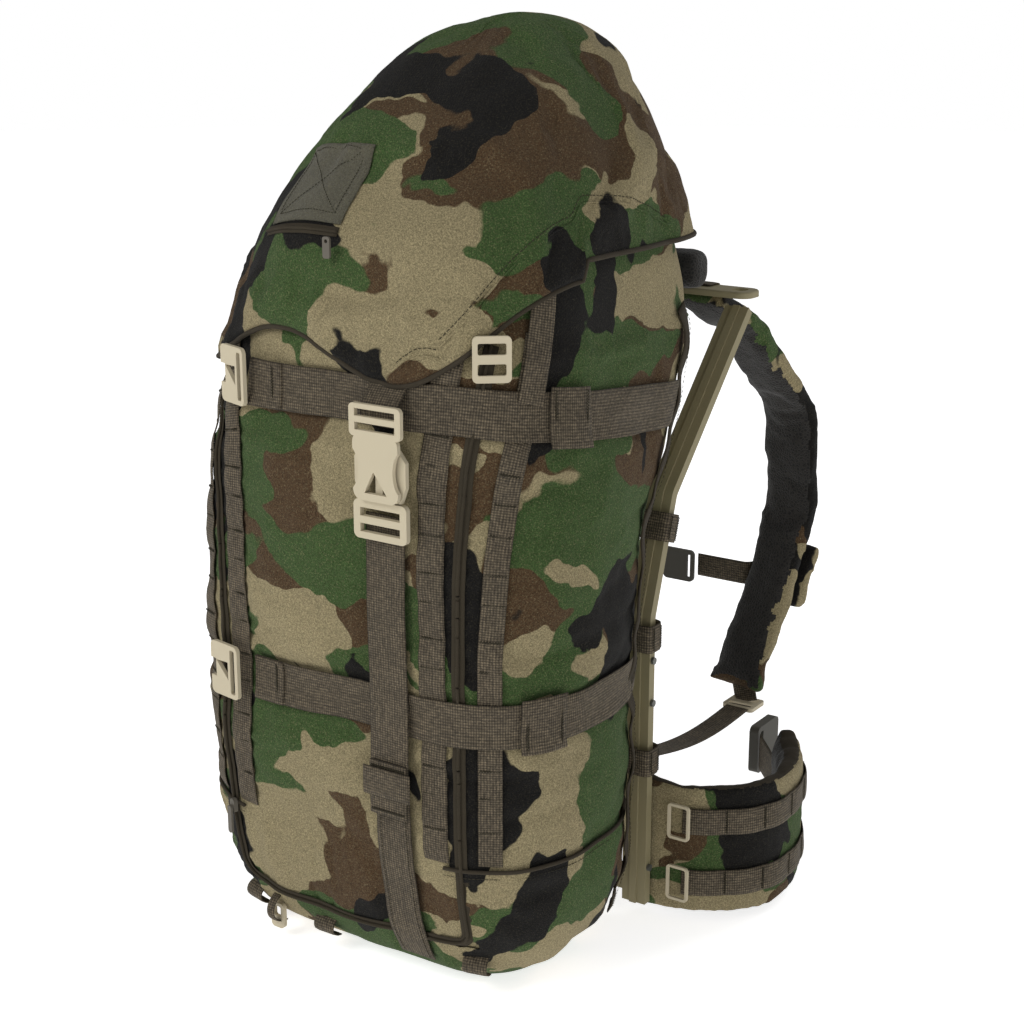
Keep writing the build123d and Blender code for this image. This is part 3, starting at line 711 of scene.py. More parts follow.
class Stitches:
    """Collects thread dashes and bar tacks that ride together, and makes them one piece."""

    def __init__(self):
        self.points, self.faces = [], []

    def dash(self, start, end, out, half=0.00035):
        along = (end - start).normalized()
        side = along.cross(out).normalized() * half
        base = len(self.points)
        dip = out * -0.0003
        for share, rise in ((0, dip), (0.25, out * half), (0.75, out * half), (1, dip)):
            p = start.lerp(end, share)
            self.points += [p - side + rise * 0.3, p + rise * 1.6, p + side + rise * 0.3]
        for i in range(3):
            a = base + 3 * i
            self.faces += [[a, a + 3, a + 4, a + 1], [a + 1, a + 4, a + 5, a + 2], [a + 2, a + 5, a + 3, a]]
        self.faces += [[base, base + 1, base + 2], [base + 9, base + 11, base + 10]]

    def run(self, path, out):
        for a, b in zip(path, path[1:]):
            self.dash(a, a.lerp(b, THREAD_SHARE), out)

    def tack(self, centre, across, out, width):
        """A dense zigzag bar across a strap."""
        along = out.cross(across).normalized()
        count = max(5, int(width / 0.0011))
        previous = None
        for i in range(count + 1):
            flip = 1 if i % 2 else -1
            p = centre + across * (width * (i / count - 0.5)) + along * (flip * TACK_DEPTH / 2) + out * 0.0002
            if previous:
                self.dash(previous, p, out, 0.0004)
            previous = p

    def make(self, name, body):
        return new_object(name, self.points, self.faces, THREAD, body)


# ---------------------------------------------------------------- pieces sewn on the bag
def front_hit(tree, x, z):
    """Point on the bag's front or corner at x, cast square to the CAD outline."""
    mid_x, mid_y = lerp_table(BAG_AXIS, z)
    half = BAG_HALF - max(0.0, z - TAPER_FROM) * TAPER
    reach = max(0.0, abs(x - mid_x) - (half - BAG_CORNER))
    lean = math.asin(min(0.98, reach / BAG_CORNER)) * (1 if x > mid_x else -1)
    out = Vector((math.sin(lean), -math.cos(lean), 0))
    return struck(tree, Vector((x, mid_y - 0.09, z)) + out * 0.14, -out), out


def vertical_path(tree, x, low, high, pitch=0.006):
    centre, outs = [], []
    count = int(abs(high - low) / pitch)
    for i in range(count + 1):
        z = low + (high - low) * i / count
        at = x(z) if callable(x) else x
        hit, out = front_hit(tree, at, z)
        if hit:
            centre.append(hit)
            outs.append(out)
    return smooth_path(centre, 2), outs


def round_path(tree, start, end, height, pitch=1.5):
    """Level path round the bag between two angles in degrees; height may vary with the angle."""
    centre, outs = [], []
    count = int(abs(end - start) / pitch)
    for i in range(count + 1):
        turn = start + (end - start) * i / count
        z = height(turn) if callable(height) else height
        hit, out = bag_point(tree, math.radians(turn), z)
        if hit:
            centre.append(hit)
            outs.append(out)
    return smooth_path(centre, 2), outs


def make_bag_trim(bag, stitches):
    tree = tree_of(bag)
    for side in (1, -1):
        for x, wide, high in ((SEWN_LINES[0], 0.023, 0.552), (SEWN_LINES[2], 0.020, 0.566)):
            lean = 0.006 if x > 0.12 else 0.0
            centre, outs = vertical_path(tree, lambda z: side * (x + lean * (z - 0.3)), 0.134, high)
            rows, normals = tape_grid(centre, outs, wide, tree, 0.0006)
            ladder_tape("row_tape", rows, normals, wide, "pack", "sewn_rows", stitches,
                        thickness=0.0013, lift=0.0016)
    make_zip(tree)
    return tree


def make_zip(tree):
    half, high, low = SEWN_LINES[1], 0.560, 0.056
    left, left_out = vertical_path(tree, -half, high, low)
    foot, foot_out = [], []
    for i in range(1, 44):
        x = -half + 2 * half * i / 44
        hit, out = front_hit(tree, x, 0.053 - 0.006 * math.sin(math.pi * i / 44))
        foot.append(hit)
        foot_out.append(out)
    right, right_out = vertical_path(tree, half, low, high)
    centre = smooth_path(left + foot + right, 2)
    outs = left_out + foot_out + right_out
    rows, normals = tape_grid(centre, outs, 0.011, tree, 0.0012, 5)
    ground = tape("front_zip_tape", rows, normals, 0.0007, ZIP, "pack")
    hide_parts("front_zip")
    coil = [row[2] + n * 0.0016 for row, n in zip(rows, normals)]
    path = resample(coil, 0.0013)
    points = []
    for i, p in enumerate(path):
        points.append(p + FRONT * (0.0003 * (i % 2)))
    tube("front_zip_coil", points, 0.0016, ZIP, "pack", sides=6)


def make_compression(tree, stitches):
    """Two straps from the hooks, across the front and round to the frame, with folded ends and keepers."""
    for name, z, start, node in (("upper", UPPER, -31, "upper_compression_strap"),
                                 ("lower", LOWER, -36, "lower_compression_strap")):
        def level(turn, base=z):
            if base == UPPER:
                return base - 0.00036 * max(0.0, turn - 36)
            return base + 0.0006 * math.sin(turn / 12)
        centre, outs = round_path(tree, start, 118 if z == UPPER else 112, level)
        rows, normals = tape_grid(centre, outs, WIDE, tree, 0.0031, 11, 4)
        strap = tape(f"{name}_strap", rows, normals, THICK, WEB, "pack",
                     lambda s: 0.0006 * math.sin(s * 38))
        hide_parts(node)
        edge_lines(stitches, rows, normals, 0.0018, (1, -2), 0.0, 0.05)
        fold = rows[:9]
        lifted = [[p + n * 0.0022 for p in r] for r, n in zip(fold, normals[:9])]
        tape(f"{name}_strap_fold", lifted, normals[:9], 0.0015, WEB, "pack")
        stitches.tack(lifted[6][5] + normals[6] * 0.0017, UP, normals[6], 0.032)
        near = 58 if z == UPPER else 62
        centre, outs = round_path(tree, near, near + 12, level)
        rows, normals = tape_grid(centre, outs, 0.047, tree, 0.0056, 11, 3)
        keeper = tape(f"{name}_keeper", rows, normals, THICK, WEB, "pack",
                      lambda s: 0.0012 * math.sin(s * 80))
        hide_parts("strap_keepers")
        for i in (1, -2):
            stitches.tack(rows[i][5] + normals[i] * 0.002, UP, normals[i], 0.044)


def edge_lines(stitches, rows, outs, lift, columns, low, high):
    """Thread along a strap near its edges, from one length to another."""
    for c in columns:
        line = [r[c] + n * lift for r, n in zip(rows, outs)]
        total, kept = 0.0, [line[0]]
        for a, b in zip(line, line[1:]):
            total += (b - a).length
            if low <= total <= high:
                kept.append(b)
        if len(kept) > 2:
            path = resample(kept, THREAD_PITCH)
            stitches.run(path, outs[0])


def make_front_strap(bag_tree, stitches):
    """Lid strap's lower half: flat from the buckle to the keeper, sewn to the boot below."""
    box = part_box("front_strap")
    x = (box[0].x + box[1].x) / 2
    face = box[0].y
    out = FRONT
    centre = []
    for i in range(60):
        z = box[1].z - (box[1].z - box[0].z) * i / 59
        sway = 0.0008 * math.sin(z * 30)
        tucked = 0.0009 * min(1.0, max(0.0, (z - box[1].z + 0.075) / 0.02))
        centre.append(Vector((x + sway, face + THICK + tucked, z)))
    rows, _ = tape_grid(centre, [out] * 60, WIDE, None, 0, 9, 0)
    strap = tape("front_strap_web", rows, [out] * 60, THICK, WEB, "pack")
    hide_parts("front_strap")
    tail = [Vector((x + 0.0005, face - 0.0004, 0.215 - 0.047 * i / 11)) for i in range(12)]
    rows, _ = tape_grid(tail, [out] * 12, 0.0375, None, 0, 9, 0)
    tape("front_strap_fold", rows, [out] * 12, 0.0022, WEB, "pack")
    for row in (rows[1], rows[-2]):
        stitches.tack(row[4] + out * 0.0024, RIGHT, out, 0.034)
    keep = []
    for i in range(15):
        bow = 0.0006 * math.sin(math.pi * i / 14)
        keep.append(Vector((x - 0.0235 + 0.047 * i / 14, face - 0.0030 - bow, 0.197)))
    rows, _ = tape_grid(keep, [out] * 15, NARROW, None, 0, 7, 0)
    loop = tape("front_strap_keeper", rows, [out] * 15, THIN, WEB, "pack")
    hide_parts("strap_keepers")
    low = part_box("front_strap_anchor")[0].z
    centre, outs = [], []
    for i in range(34):
        z = 0.186 + (low + 0.002 - 0.186) * i / 33
        hit, _ = surface(bag_tree, (x, -0.5, z), (0, 1, 0))
        centre.append(hit)
        outs.append(out)
    centre = smooth_path(centre, 3)
    rows, normals = tape_grid(centre, outs, 0.036, bag_tree, 0.0036, 9, 3)
    anchor = tape("front_strap_root", rows, normals, THICK, WEB, "pack")
    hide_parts("front_strap_anchor")
    edge_lines(stitches, rows, normals, 0.0018, (1, -2), 0.0, 0.2)


def on_panel(p):
    return p.z > PANEL_FOOT and abs(p.x) < PANEL_HALF and p.y < 0


def make_boot(bag, stitches):
    """Tough foot of the bag, a second skin up to its seam, cut away round the front panel."""
    tree = tree_of(bag)
    heights = [0.0055, 0.012, 0.020] + [0.028 + 0.0052 * i for i in range(20)] + [BOOT_TOP]
    points, index = [], {}
    for r, z in enumerate(heights):
        for k in range(TURNS):
            hit, out = bag_point(tree, 2 * math.pi * k / TURNS, z)
            index[r, k] = len(points)
            points.append(hit + out * (0.0026 + 0.0004 * noise.noise(hit * 40)))
    faces = []
    for r in range(len(heights) - 1):
        for k in range(TURNS):
            j = (k + 1) % TURNS
            corners = [index[r, k], index[r, j], index[r + 1, j], index[r + 1, k]]
            if all(on_panel(points[c]) for c in corners):
                continue
            faces.append(corners)
    base = len(points)
    x, y = lerp_table(BAG_AXIS, 0)
    for level in range(1, 6):
        share = 1 - level / 6
        for k in range(TURNS):
            p = points[index[0, k]]
            points.append(Vector((x + (p.x - x) * share, y + (p.y - y) * share, 0.0018)))
    for level in range(5):
        for k in range(TURNS):
            j = (k + 1) % TURNS
            upper = index[0, k] if level == 0 else base + (level - 1) * TURNS + k
            upper_next = index[0, j] if level == 0 else base + (level - 1) * TURNS + j
            faces.append([base + level * TURNS + k, base + level * TURNS + j, upper_next, upper])
    boot = new_object("boot_shell", points, faces, CAMO, "pack")
    clean_loose(boot)
    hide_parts("bottom_boot")
    for side in (1, -1):
        angles = (43, 178) if side > 0 else (-43, -178)
        centre, outs = round_path(tree, *angles, BOOT_TOP - 0.001)
        line = [c + o * 0.0032 for c, o in zip(centre, outs)]
        tube("boot_piping", smooth_path(line, 2), 0.0017, TAPE, "pack", sides=6)
        lower = [Vector((c.x, c.y, c.z - 0.006)) + o * 0.0034 for c, o in zip(centre, outs)]
        stitches.run(resample(lower, THREAD_PITCH), outs[len(outs) // 2])
    return boot


def clean_loose(piece):
    work = bmesh.new()
    work.from_mesh(piece.data)
    loose = [v for v in work.verts if not v.link_faces]
    bmesh.ops.delete(work, geom=loose, context="VERTS")
    work.to_mesh(piece.data)
    work.free()


def make_side_binding(tree, stitches):
    """Wavy tape where the bag is laced to each stay."""
    for side in (1, -1):
        centre, outs = [], []
        for i in range(95):
            z = 0.030 + 0.53 * i / 94
            turn = 108 + 12 * min(1.0, max(0.0, (z - 0.36) / 0.16))
            turn += 1.6 * math.sin(z * 95) + 1.0 * math.sin(z * 41)
            hit, out = bag_point(tree, math.radians(turn * side), z)
            centre.append(hit)
            outs.append(out)
        centre = smooth_path(centre, 1)
        rows, normals = tape_grid(centre, outs, 0.015, tree, 0.0030, 7, 2)
        binding = tape("side_binding_tape", rows, normals, 0.0022, TAPE, "pack",
                       lambda s: 0.0012 * math.sin(s * 130))
        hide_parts("side_binding")
        stitches.run(resample([r[3] + n * 0.0036 for r, n in zip(rows, normals)], 0.0042), outs[40])


# ---------------------------------------------------------------- lid
LID_HEART = Vector((0.020, 0.050, 0.610))
LID_TURNS = 260
LID_RINGS = 58


def lid_ray(tree, angle, lift):
    out = Vector((math.sin(angle) * math.cos(lift), -math.cos(angle) * math.cos(lift), math.sin(lift)))
    return struck(tree, LID_HEART + out * 0.6, -out, 0.6)


def lid_edge(tree, angle):
    """Lowest slope at which the lid is still met."""
    good, bad = math.radians(30), math.radians(-60)
    for _ in range(26):
        middle = (good + bad) / 2
        if lid_ray(tree, angle, middle):
            good = middle
        else:
            bad = middle
    return good


def make_lid():
    tree = tree_of(nodes["lid"])
    edges = [lid_edge(tree, 2 * math.pi * k / LID_TURNS) for k in range(LID_TURNS)]
    points, pins = [], []
    for r in range(LID_RINGS):
        share = r / LID_RINGS
        for k in range(LID_TURNS):
            lift = edges[k] + (math.pi / 2 - edges[k]) * share
            hit = lid_ray(tree, 2 * math.pi * k / LID_TURNS, lift)
            if hit is None:
                hit = lid_ray(tree, 2 * math.pi * k / LID_TURNS, lift + 0.004) or points[-1]
            points.append(hit)
            pins.append(1.0 if r < 2 else (0.25 if r < 4 else 0.0))
    points.append(lid_ray(tree, 0, math.pi / 2 - 1e-4))
    pins.append(0.0)
    top = len(points) - 1
    faces = ring_faces(LID_RINGS, LID_TURNS)
    last = (LID_RINGS - 1) * LID_TURNS
    for k in range(LID_TURNS):
        faces.append([last + k, last + (k + 1) % LID_TURNS, top])
    lid = new_object("lid_shell", points, faces, CAMO, None)
    swell(lid, pins, pressure=2.0, spare=0.02, cap=0.006)
    settle_lid(lid)
    edge = [lid.data.vertices[k].co.copy() for k in range(LID_TURNS)]
    thick = lid.modifiers.new("wall", "SOLIDIFY")
    thick.thickness = 0.003
    thick.offset = -1
    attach(lid, "lid_body")
    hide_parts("lid")
    tube("lid_hem", edge, 0.0022, TAPE, "lid_body", closed=True, sides=8)
    return lid


def settle_lid(lid):
    """Loose cloth: broad hollows, creases stretched upright, small creases near the hem."""
    for v in lid.data.vertices:
        p = v.co
        out = (p - LID_HEART).normalized()
        low = math.exp(-max(0.0, p.z - 0.53) / 0.08)
        move = 0.0045 * noise.noise(p * 11 + Vector((2, 5, 1)))
        move += 0.0026 * noise.noise(Vector((p.x * 30, p.y * 30, p.z * 12)))
        move += 0.0016 * noise.noise(p * 60) * (0.4 + low)
        v.co = p + out * min(move, 0.006)


# ---------------------------------------------------------------- padded harness
def push_out(piece, amount):
    """Move each point along its normal by amount(point)."""
    spots = [v.co.copy() for v in piece.data.vertices]
    normals = [v.normal.copy() for v in piece.data.vertices]
    moved = [p + n * amount(p) for p, n in zip(spots, normals)]
    piece.data.vertices.foreach_set("co", np.array(moved, np.float32).ravel())
    piece.data.update()


def pad_from(node, name, body, material, pressure, cap, voxel=0.005):
    """Padded piece: the CAD solid remeshed, blown up as cloth and smoothed."""
    source = nodes[node]
    mesh = source.data.copy()
    mesh.name = name
    mesh.materials.clear()
    mesh.materials.append(material)
    piece = bpy.data.objects.new(name, mesh)
    bpy.context.scene.collection.objects.link(piece)
    remesh = piece.modifiers.new("remesh", "REMESH")
    remesh.mode = "VOXEL"
    remesh.voxel_size = voxel
    final_mesh(piece)
    swell(piece, [0.0] * len(piece.data.vertices), pressure, spare=0.02, cap=cap)
    soften = piece.modifiers.new("soften", "SMOOTH")
    soften.factor = 0.5
    soften.iterations = 3
    finer = piece.modifiers.new("finer", "SUBSURF")
    finer.levels = 1
    finer.render_levels = 1
    final_mesh(piece)
    piece.data.polygons.foreach_set("use_smooth", [True] * len(piece.data.polygons))
    push_out(piece, lambda p: 0.0012 * noise.noise(p * 42) + 0.0006 * noise.noise(p * 120))
    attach(piece, body)
    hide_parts(node)
    return piece


def dress(piece, choose, extra):
    """Give faces other materials by where they look; choose returns an index into extra."""
    for material in extra:
        piece.data.materials.append(material)
    for face in piece.data.polygons:
        face.material_index = choose(Vector(face.center), Vector(face.normal))


STRAP_HEART = Vector((0.0, 0.335, 0.33))
STRAP_TURN = 11.5                    # degrees that a shoulder strap faces away from the middle


def strap_face(centre, normal):
    """Camo outside, mesh inside, tape on the two edges of a shoulder strap."""
    side = 1 if centre.x > 0 else -1
    turn = math.radians(STRAP_TURN)
    across = Vector((math.cos(turn) * side, -math.sin(turn), 0))
    if normal.dot(across) < -0.72:
        return 2
    if normal.dot(across) > 0.72:
        return 0
    away = centre - Vector((centre.x, STRAP_HEART.y, STRAP_HEART.z))
    return 0 if normal.dot(away) > 0 else 1


def wing_face(centre, normal):
    """Camo outside, mesh against the wearer, tape along the top and bottom of a hip wing."""
    if abs(normal.z) > 0.72:
        return 2
    inward = Vector((0, 0.27, centre.z)) - centre
    return 1 if normal.dot(inward) > 0 else 0


def pad_face(centre, normal):
    return 1 if abs(normal.y) < 0.35 else 0


def make_pads():
    pads = {}
    for word in ("right", "left"):
        strap = pad_from(f"shoulder_strap_{word}", f"shoulder_pad_{word}", "harness", CAMO, 3.5, cap=0.006)
        dress(strap, strap_face, (LINING, TAPE))
        wing = pad_from(f"hip_wing_{word}", f"hip_pad_{word}", f"wing_{word}", CAMO, 3.5, cap=0.006)
        dress(wing, wing_face, (LINING, TAPE))
        pads[f"strap_{word}"] = strap
        pads[f"wing_{word}"] = wing
    lumbar = pad_from("lumbar_pad", "lumbar_cushion", "pack", LINING, 4, cap=0.008)
    dress(lumbar, pad_face, (TAPE,))
    backs = pad_from("back_pad", "back_cushions", "pack", LINING, 4, cap=0.006)
    dress(backs, pad_face, (TAPE,))
    pad_from("shoulder_yoke", "yoke_cushion", "pack", LINING, 3, cap=0.006)
    pad_from("shoulder_pouch", "strap_pouch", "harness", CAMO, 3, cap=0.003, voxel=0.003)
    return pads


# ---------------------------------------------------------------- lid details
def lid_front_strip(tree, node, name, material, lift, thickness):
    """Strip laid on the lid's front over the place of a CAD skin."""
    low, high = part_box(node)
    x = (low.x + high.x) / 2
    centre, outs = [], []
    count = max(4, int((high.z - low.z) / 0.003))
    for i in range(count + 1):
        z = high.z - (high.z - low.z) * i / count
        hit, normal = surface(tree, (x, -0.5, z), (0, 1, 0))
        centre.append(hit)
        outs.append(normal if normal.y < 0 else -normal)
    rows, normals = tape_grid(smooth_path(centre, 2), outs, high.x - low.x, tree, lift, 21, 1, 0.08)
    strip = tape(name, rows, normals, thickness, material, "lid_body")
    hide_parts(node)
    return rows, normals


def make_lid_details(lid, stitches):
    tree = tree_of(lid)
    rows, normals = lid_front_strip(tree, "lid_patch", "patch_loop", LOOP, 0.0006, 0.0016)
    lift = 0.0024
    inset = 2
    upper, lower = rows[inset], rows[-1 - inset]
    corner = [upper[inset], upper[-1 - inset], lower[-1 - inset], lower[inset]]
    out = normals[len(normals) // 2]
    for a, b in ((0, 1), (1, 2), (2, 3), (3, 0), (0, 2), (1, 3)):
        side = straight(corner[a], corner[b], 31)
        stitches.run(resample(on_tree(tree, side, out, lift), 0.003), out)
    rows, normals = lid_front_strip(tree, "lid_zip", "lid_zip_tape", ZIP, 0.0006, 0.0010)
    middle = len(rows) // 2
    line = resample([p + normals[middle] * 0.0016 for p in rows[middle]], 0.0013)
    tube("lid_zip_coil", line, 0.0014, ZIP, "lid_body", sides=6)
    for start, end, above, rise in ((24, 104, 5, 10), (14, 24, 3, 2)):
        seam, outs = [], []
        for i in range(60):
            share = i / 59
            angle = math.radians(start + (end - start) * share)
            slope = lid_edge(tree, angle) + math.radians(above + rise * math.sin(share * math.pi))
            hit = lid_ray(tree, angle, slope)
            if hit:
                seam.append(hit)
                outs.append((hit - LID_HEART).normalized())
        seam = smooth_path(seam, 2)
        ridge = [p + o * 0.0002 for p, o in zip(seam, outs)]
        tube("lid_seam", ridge, 0.0009, CAMO, "lid_body", sides=6)
        beside = [lid_snap(tree, p + UP * 0.006) for p in seam]
        stitches.run(resample(beside, 0.0042), outs[len(outs) // 2])
    make_lid_strap()


def on_tree(tree, path, out, lift):
    placed = []
    for p in path:
        hit = struck(tree, p + out * 0.03, -out, 0.08)
        placed.append((hit if hit else p) + out * lift)
    return placed


def lid_snap(tree, p):
    """Nearest point of the lid straight towards its heart."""
    out = (p - LID_HEART).normalized()
    hit = struck(tree, LID_HEART + out * 0.6, -out, 0.6)
    return (hit if hit else p) + out * 0.0006


def make_lid_strap():
    """Strap from inside the lid's beak to the ladder of the buckle."""
    top, behind = 0.548, -0.1462
    low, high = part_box("lid_strap")
    x = (low.x + high.x) / 2
    centre = []
    for i in range(30):
        share = i / 29
        z = top - (top - low.z) * share
        bow = min(1.0, max(0.0, (share - 0.28) / 0.5))
        bow = bow * bow * (3 - 2 * bow)
        centre.append(Vector((x, behind + (low.y + 0.0010 - behind) * bow, z)))
    strap = loose_tape("lid_strap_web", centre, FRONT, 0.036, "lid_body", THICK, 9, 1)
    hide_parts("lid_strap")


def make_collar():
    """Thin storm collar, gathered by its drawcord."""
    tree = tree_of(nodes["storm_collar"])
    low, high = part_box("storm_collar")
    count, levels = 220, 26
    points = []
    middle = (low + high) / 2
    for r in range(levels):
        z = low.z + 0.0015 + (high.z - low.z - 0.003) * r / (levels - 1)
        gather = 0.0004 + 0.0020 * r / (levels - 1)
        for k in range(count):
            angle = 2 * math.pi * k / count
            out = Vector((math.sin(angle), -math.cos(angle), 0))
            hit = struck(tree, Vector((middle.x, middle.y, z)) + out * 0.4, -out)
            fold = gather * (math.sin(angle * 46) + 0.6 * math.sin(angle * 29 + 1)) - gather
            points.append(hit + out * fold)
    faces = ring_faces(levels, count)
    collar = new_object("collar_sleeve", points, faces, COLLAR, "pack")
    wall = collar.modifiers.new("wall", "SOLIDIFY")
    wall.thickness = 0.0012
    wall.offset = -1
    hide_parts("storm_collar")


# ---------------------------------------------------------------- webbing on the harness
def ladder_tape(name, rows, normals, width, body, node, stitches,
                pitch=TACK_PITCH, thickness=THIN, lift=0.0018):
    """Webbing sewn down at even steps so that it stands up between them."""
    made = tape(name, rows, normals, thickness, WEB, body,
                lambda s: thickness * abs(math.sin(math.pi * s / pitch)) ** 0.7)
    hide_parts(node)
    length, middle = 0.0, len(rows[0]) // 2
    for i in range(1, len(rows)):
        before = length
        length += (rows[i][middle] - rows[i - 1][middle]).length
        if int(length / pitch) != int(before / pitch):
            across = (rows[i][-1] - rows[i][0]).normalized()
            stitches.tack(rows[i][middle] + normals[i] * lift, across, normals[i], width * 0.86)


def make_wing_webbing(pads, word, stitches):
    side = 1 if word == "right" else -1
    tree = tree_of(pads[f"wing_{word}"])
    low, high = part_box(f"wing_rows_{word}")
    width = NARROW
    for z in (low.z + width / 2, high.z - width / 2):
        centre, outs = [], []
        for i in range(70):
            angle = math.radians(-66 + 112 * i / 69)
            out = Vector((math.cos(angle) * side, math.sin(angle), 0))
            hit = struck(tree, Vector((0.15 * side, 0.20, z)) + out * 0.3, -out, 0.3)
            if hit:
                centre.append(hit)
                outs.append(out)
        rows, normals = tape_grid(smooth_path(centre, 3), outs, width, tree, 0.0008, 7, 2)
        ladder_tape(f"wing_row_{word}", rows, normals, width, f"wing_{word}", f"wing_rows_{word}", stitches,
                    pitch=0.038)


def make_belt_tail(word):
    """Hip belt webbing, from inside the end of the wing to its buckle."""
    side = 1 if word == "right" else -1
    low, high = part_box(f"belt_webbing_{word}")
    outer, inner = (high.x, low.x) if side > 0 else (low.x, high.x)
    level = (low.z + high.z) / 2
    start, end = Vector((outer, low.y, level)), Vector((inner, high.y, level))
    run = (end - start).normalized()
    start -= run * 0.020
    out = run.cross(UP) * side
    path = straight(start, end, 20, out * 0.0015)
    made = loose_tape(f"belt_tail_{word}", path, out, high.z - low.z, f"wing_{word}", THICK, 9)
    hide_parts(f"belt_webbing_{word}")


def make_lower_webbing():
    """Webbing from the foot of each stay up into its strap adjuster."""
    low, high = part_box("lower_webbing")
    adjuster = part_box("strap_adjusters")
    middle = (adjuster[0].y + adjuster[1].y) / 2
    for side, word in ((1, "right"), (-1, "left")):
        start = Vector((side * (high.x - NARROW / 2), low.y, high.z - 0.001))
        end = Vector((side * (adjuster[1].x - 0.017), middle - 0.007, adjuster[0].z + 0.002))
        path = straight(start, end, 30, UP * -0.010)
        strap = loose_tape(f"lower_webbing_{word}", path, UP, NARROW, None, THICK, 9)
        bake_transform(strap)
        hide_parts("lower_webbing")


def make_strap_webbing(pads, word, stitches):
    side = 1 if word == "right" else -1
    tree = tree_of(pads[f"strap_{word}"])
    turn = math.radians(STRAP_TURN)
    ahead = Vector((math.sin(turn) * side, math.cos(turn), 0))
    heart = Vector((0.112 * side, STRAP_HEART.y, STRAP_HEART.z))
    centre, outs = [], []
    for i in range(90):
        angle = math.radians(80 - 145 * i / 89)
        out = ahead * math.cos(angle) + UP * math.sin(angle)
        hit = struck(tree, heart + out * 0.4, -out, 0.4)
        if hit:
            centre.append(hit)
            outs.append(out)
    rows, normals = tape_grid(smooth_path(centre, 3), outs, NARROW, tree, 0.0006, 7, 2)
    ladder_tape(f"strap_row_{word}", rows, normals, NARROW, "harness", "strap_rows", stitches)
    end = min((v.co for v in pads[f"strap_{word}"].data.vertices), key=lambda c: c.z)
    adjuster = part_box("strap_adjusters")
    target = Vector((0.130 * side, (adjuster[0].y + adjuster[1].y) / 2 + 0.006, adjuster[1].z - 0.002))
    start = end.copy() + Vector((0.0, 0.002, 0.016))
    start.x = target.x - 0.010 * side
    out = Vector((math.sin(turn) * side * 0.9, 0.8, -0.5)).normalized()
    loose_tape(f"strap_tail_{word}", straight(start, target, 10), out, NARROW, "harness", THICK)


def make_strap_root(pads, word):
    """Webbing over the top plate's edge that carries a shoulder strap."""
    low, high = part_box("frame_top_plate")
    pad = [v.co for v in pads[f"strap_{word}"].data.vertices]
    first = min(p.y for p in pad)
    end = [p for p in pad if p.y < first + 0.020 and p.z > low.z - 0.06]
    heart = sum(end, Vector()) / len(end)
    corners = [Vector((heart.x, high.y - 0.018, high.z + 0.0006)), Vector((heart.x, high.y, high.z + 0.0006)),
               Vector((heart.x, high.y + 0.003, low.z - 0.001)), heart + Vector((0, 0.012, -0.004))]
    path = smooth_path(resample(corners, 0.0015), 3)
    outs = []
    for i in range(len(path)):
        ahead = path[min(i + 1, len(path) - 1)] - path[max(i - 1, 0)]
        outs.append(RIGHT.cross(ahead).normalized())
    band = loose_tape(f"strap_root_{word}", path, outs, 0.042, None, THICK, 9, 1)
    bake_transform(band)


def make_sternum(pads, word, stitches):
    """Chest strap from its buckle out over the face of a shoulder pad, where it is tacked."""
    side = 1 if word == "right" else -1
    node = f"sternum_strap_{word}"
    low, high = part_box(node)
    inner = low.x if side > 0 else high.x
    y, z = high.y, (low.z + high.z) / 2
    tree = tree_of(pads[f"strap_{word}"])
    centre = []
    reach = 0.142 * side
    for i in range(44):
        x = inner + (reach - inner) * i / 43
        hit = struck(tree, Vector((x, 0.6, z)), FRONT, 0.35)
        centre.append(Vector((x, max(y, hit.y + 0.0022) if hit else y, z)))
    centre = smooth_path(centre, 4)
    rows, normals = tape_grid(centre, [-FRONT] * len(centre), 0.024, None, 0, 7, 1)
    strap = tape(f"chest_strap_{word}", rows, normals, THIN, WEB, "harness")
    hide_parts(node)
    for i in (-3, -9):
        stitches.tack(rows[i][3] + normals[i] * 0.0018, UP, normals[i], 0.021)


# ---------------------------------------------------------------- loops that hold the loose hardware
def loop_from(spot, out, size, width, name):
    """Webbing that leaves the cloth, rounds a ring's bar and comes back to it."""
    centre, outs = [], []
    for i in range(21):
        angle = math.pi * (i / 20 - 0.5)
        p = spot + UP * (-size * 0.75 * math.sin(angle)) + out * (size * math.cos(angle))
        centre.append(p)
        outs.append((out * math.cos(angle) - UP * math.sin(angle)).normalized())
    return loose_tape(name, centre, outs, width, "pack")


def make_loose_loops(tree):
    for x, z, size, width in ((-0.118, 0.030, 0.011, 0.022), (-0.034, 0.026, 0.011, 0.022),
                              (0.118, 0.030, 0.011, 0.022), (-0.086, 0.030, 0.018, 0.008)):
        hit, out = front_hit(tree, x, z)
        loop_from(hit - out * 0.001, out, size, width, "foot_loop")
    hit, out = bag_point(tree, math.radians(-84), 0.036)
    loop_from(hit - out * 0.001, out, 0.034, NARROW, "side_loop")
    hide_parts("bottom_loops")
    low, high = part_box("side_buckle_strap")
    hit, out = bag_point(tree, math.radians(-84), high.z + 0.008)
    top = Vector(((low.x + high.x) / 2, (low.y + high.y) / 2, high.z - 0.002))
    path = [p - out * 0.0005 for p in straight(hit, top, 8)]
    loose_tape("side_buckle_tab", path, Vector((-0.4, 0, 0.9)), NARROW, "pack")
    low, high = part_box("top_ladder_lock")
    x = (low.x + high.x) / 2
    centre, outs = vertical_path(tree, x, low.z - 0.02, high.z + 0.040)
    rows, normals = tape_grid(centre, outs, 0.020, tree, 0.0050, 7, 2)
    tape("ladder_lock_web", rows, normals, THIN, WEB, "pack")


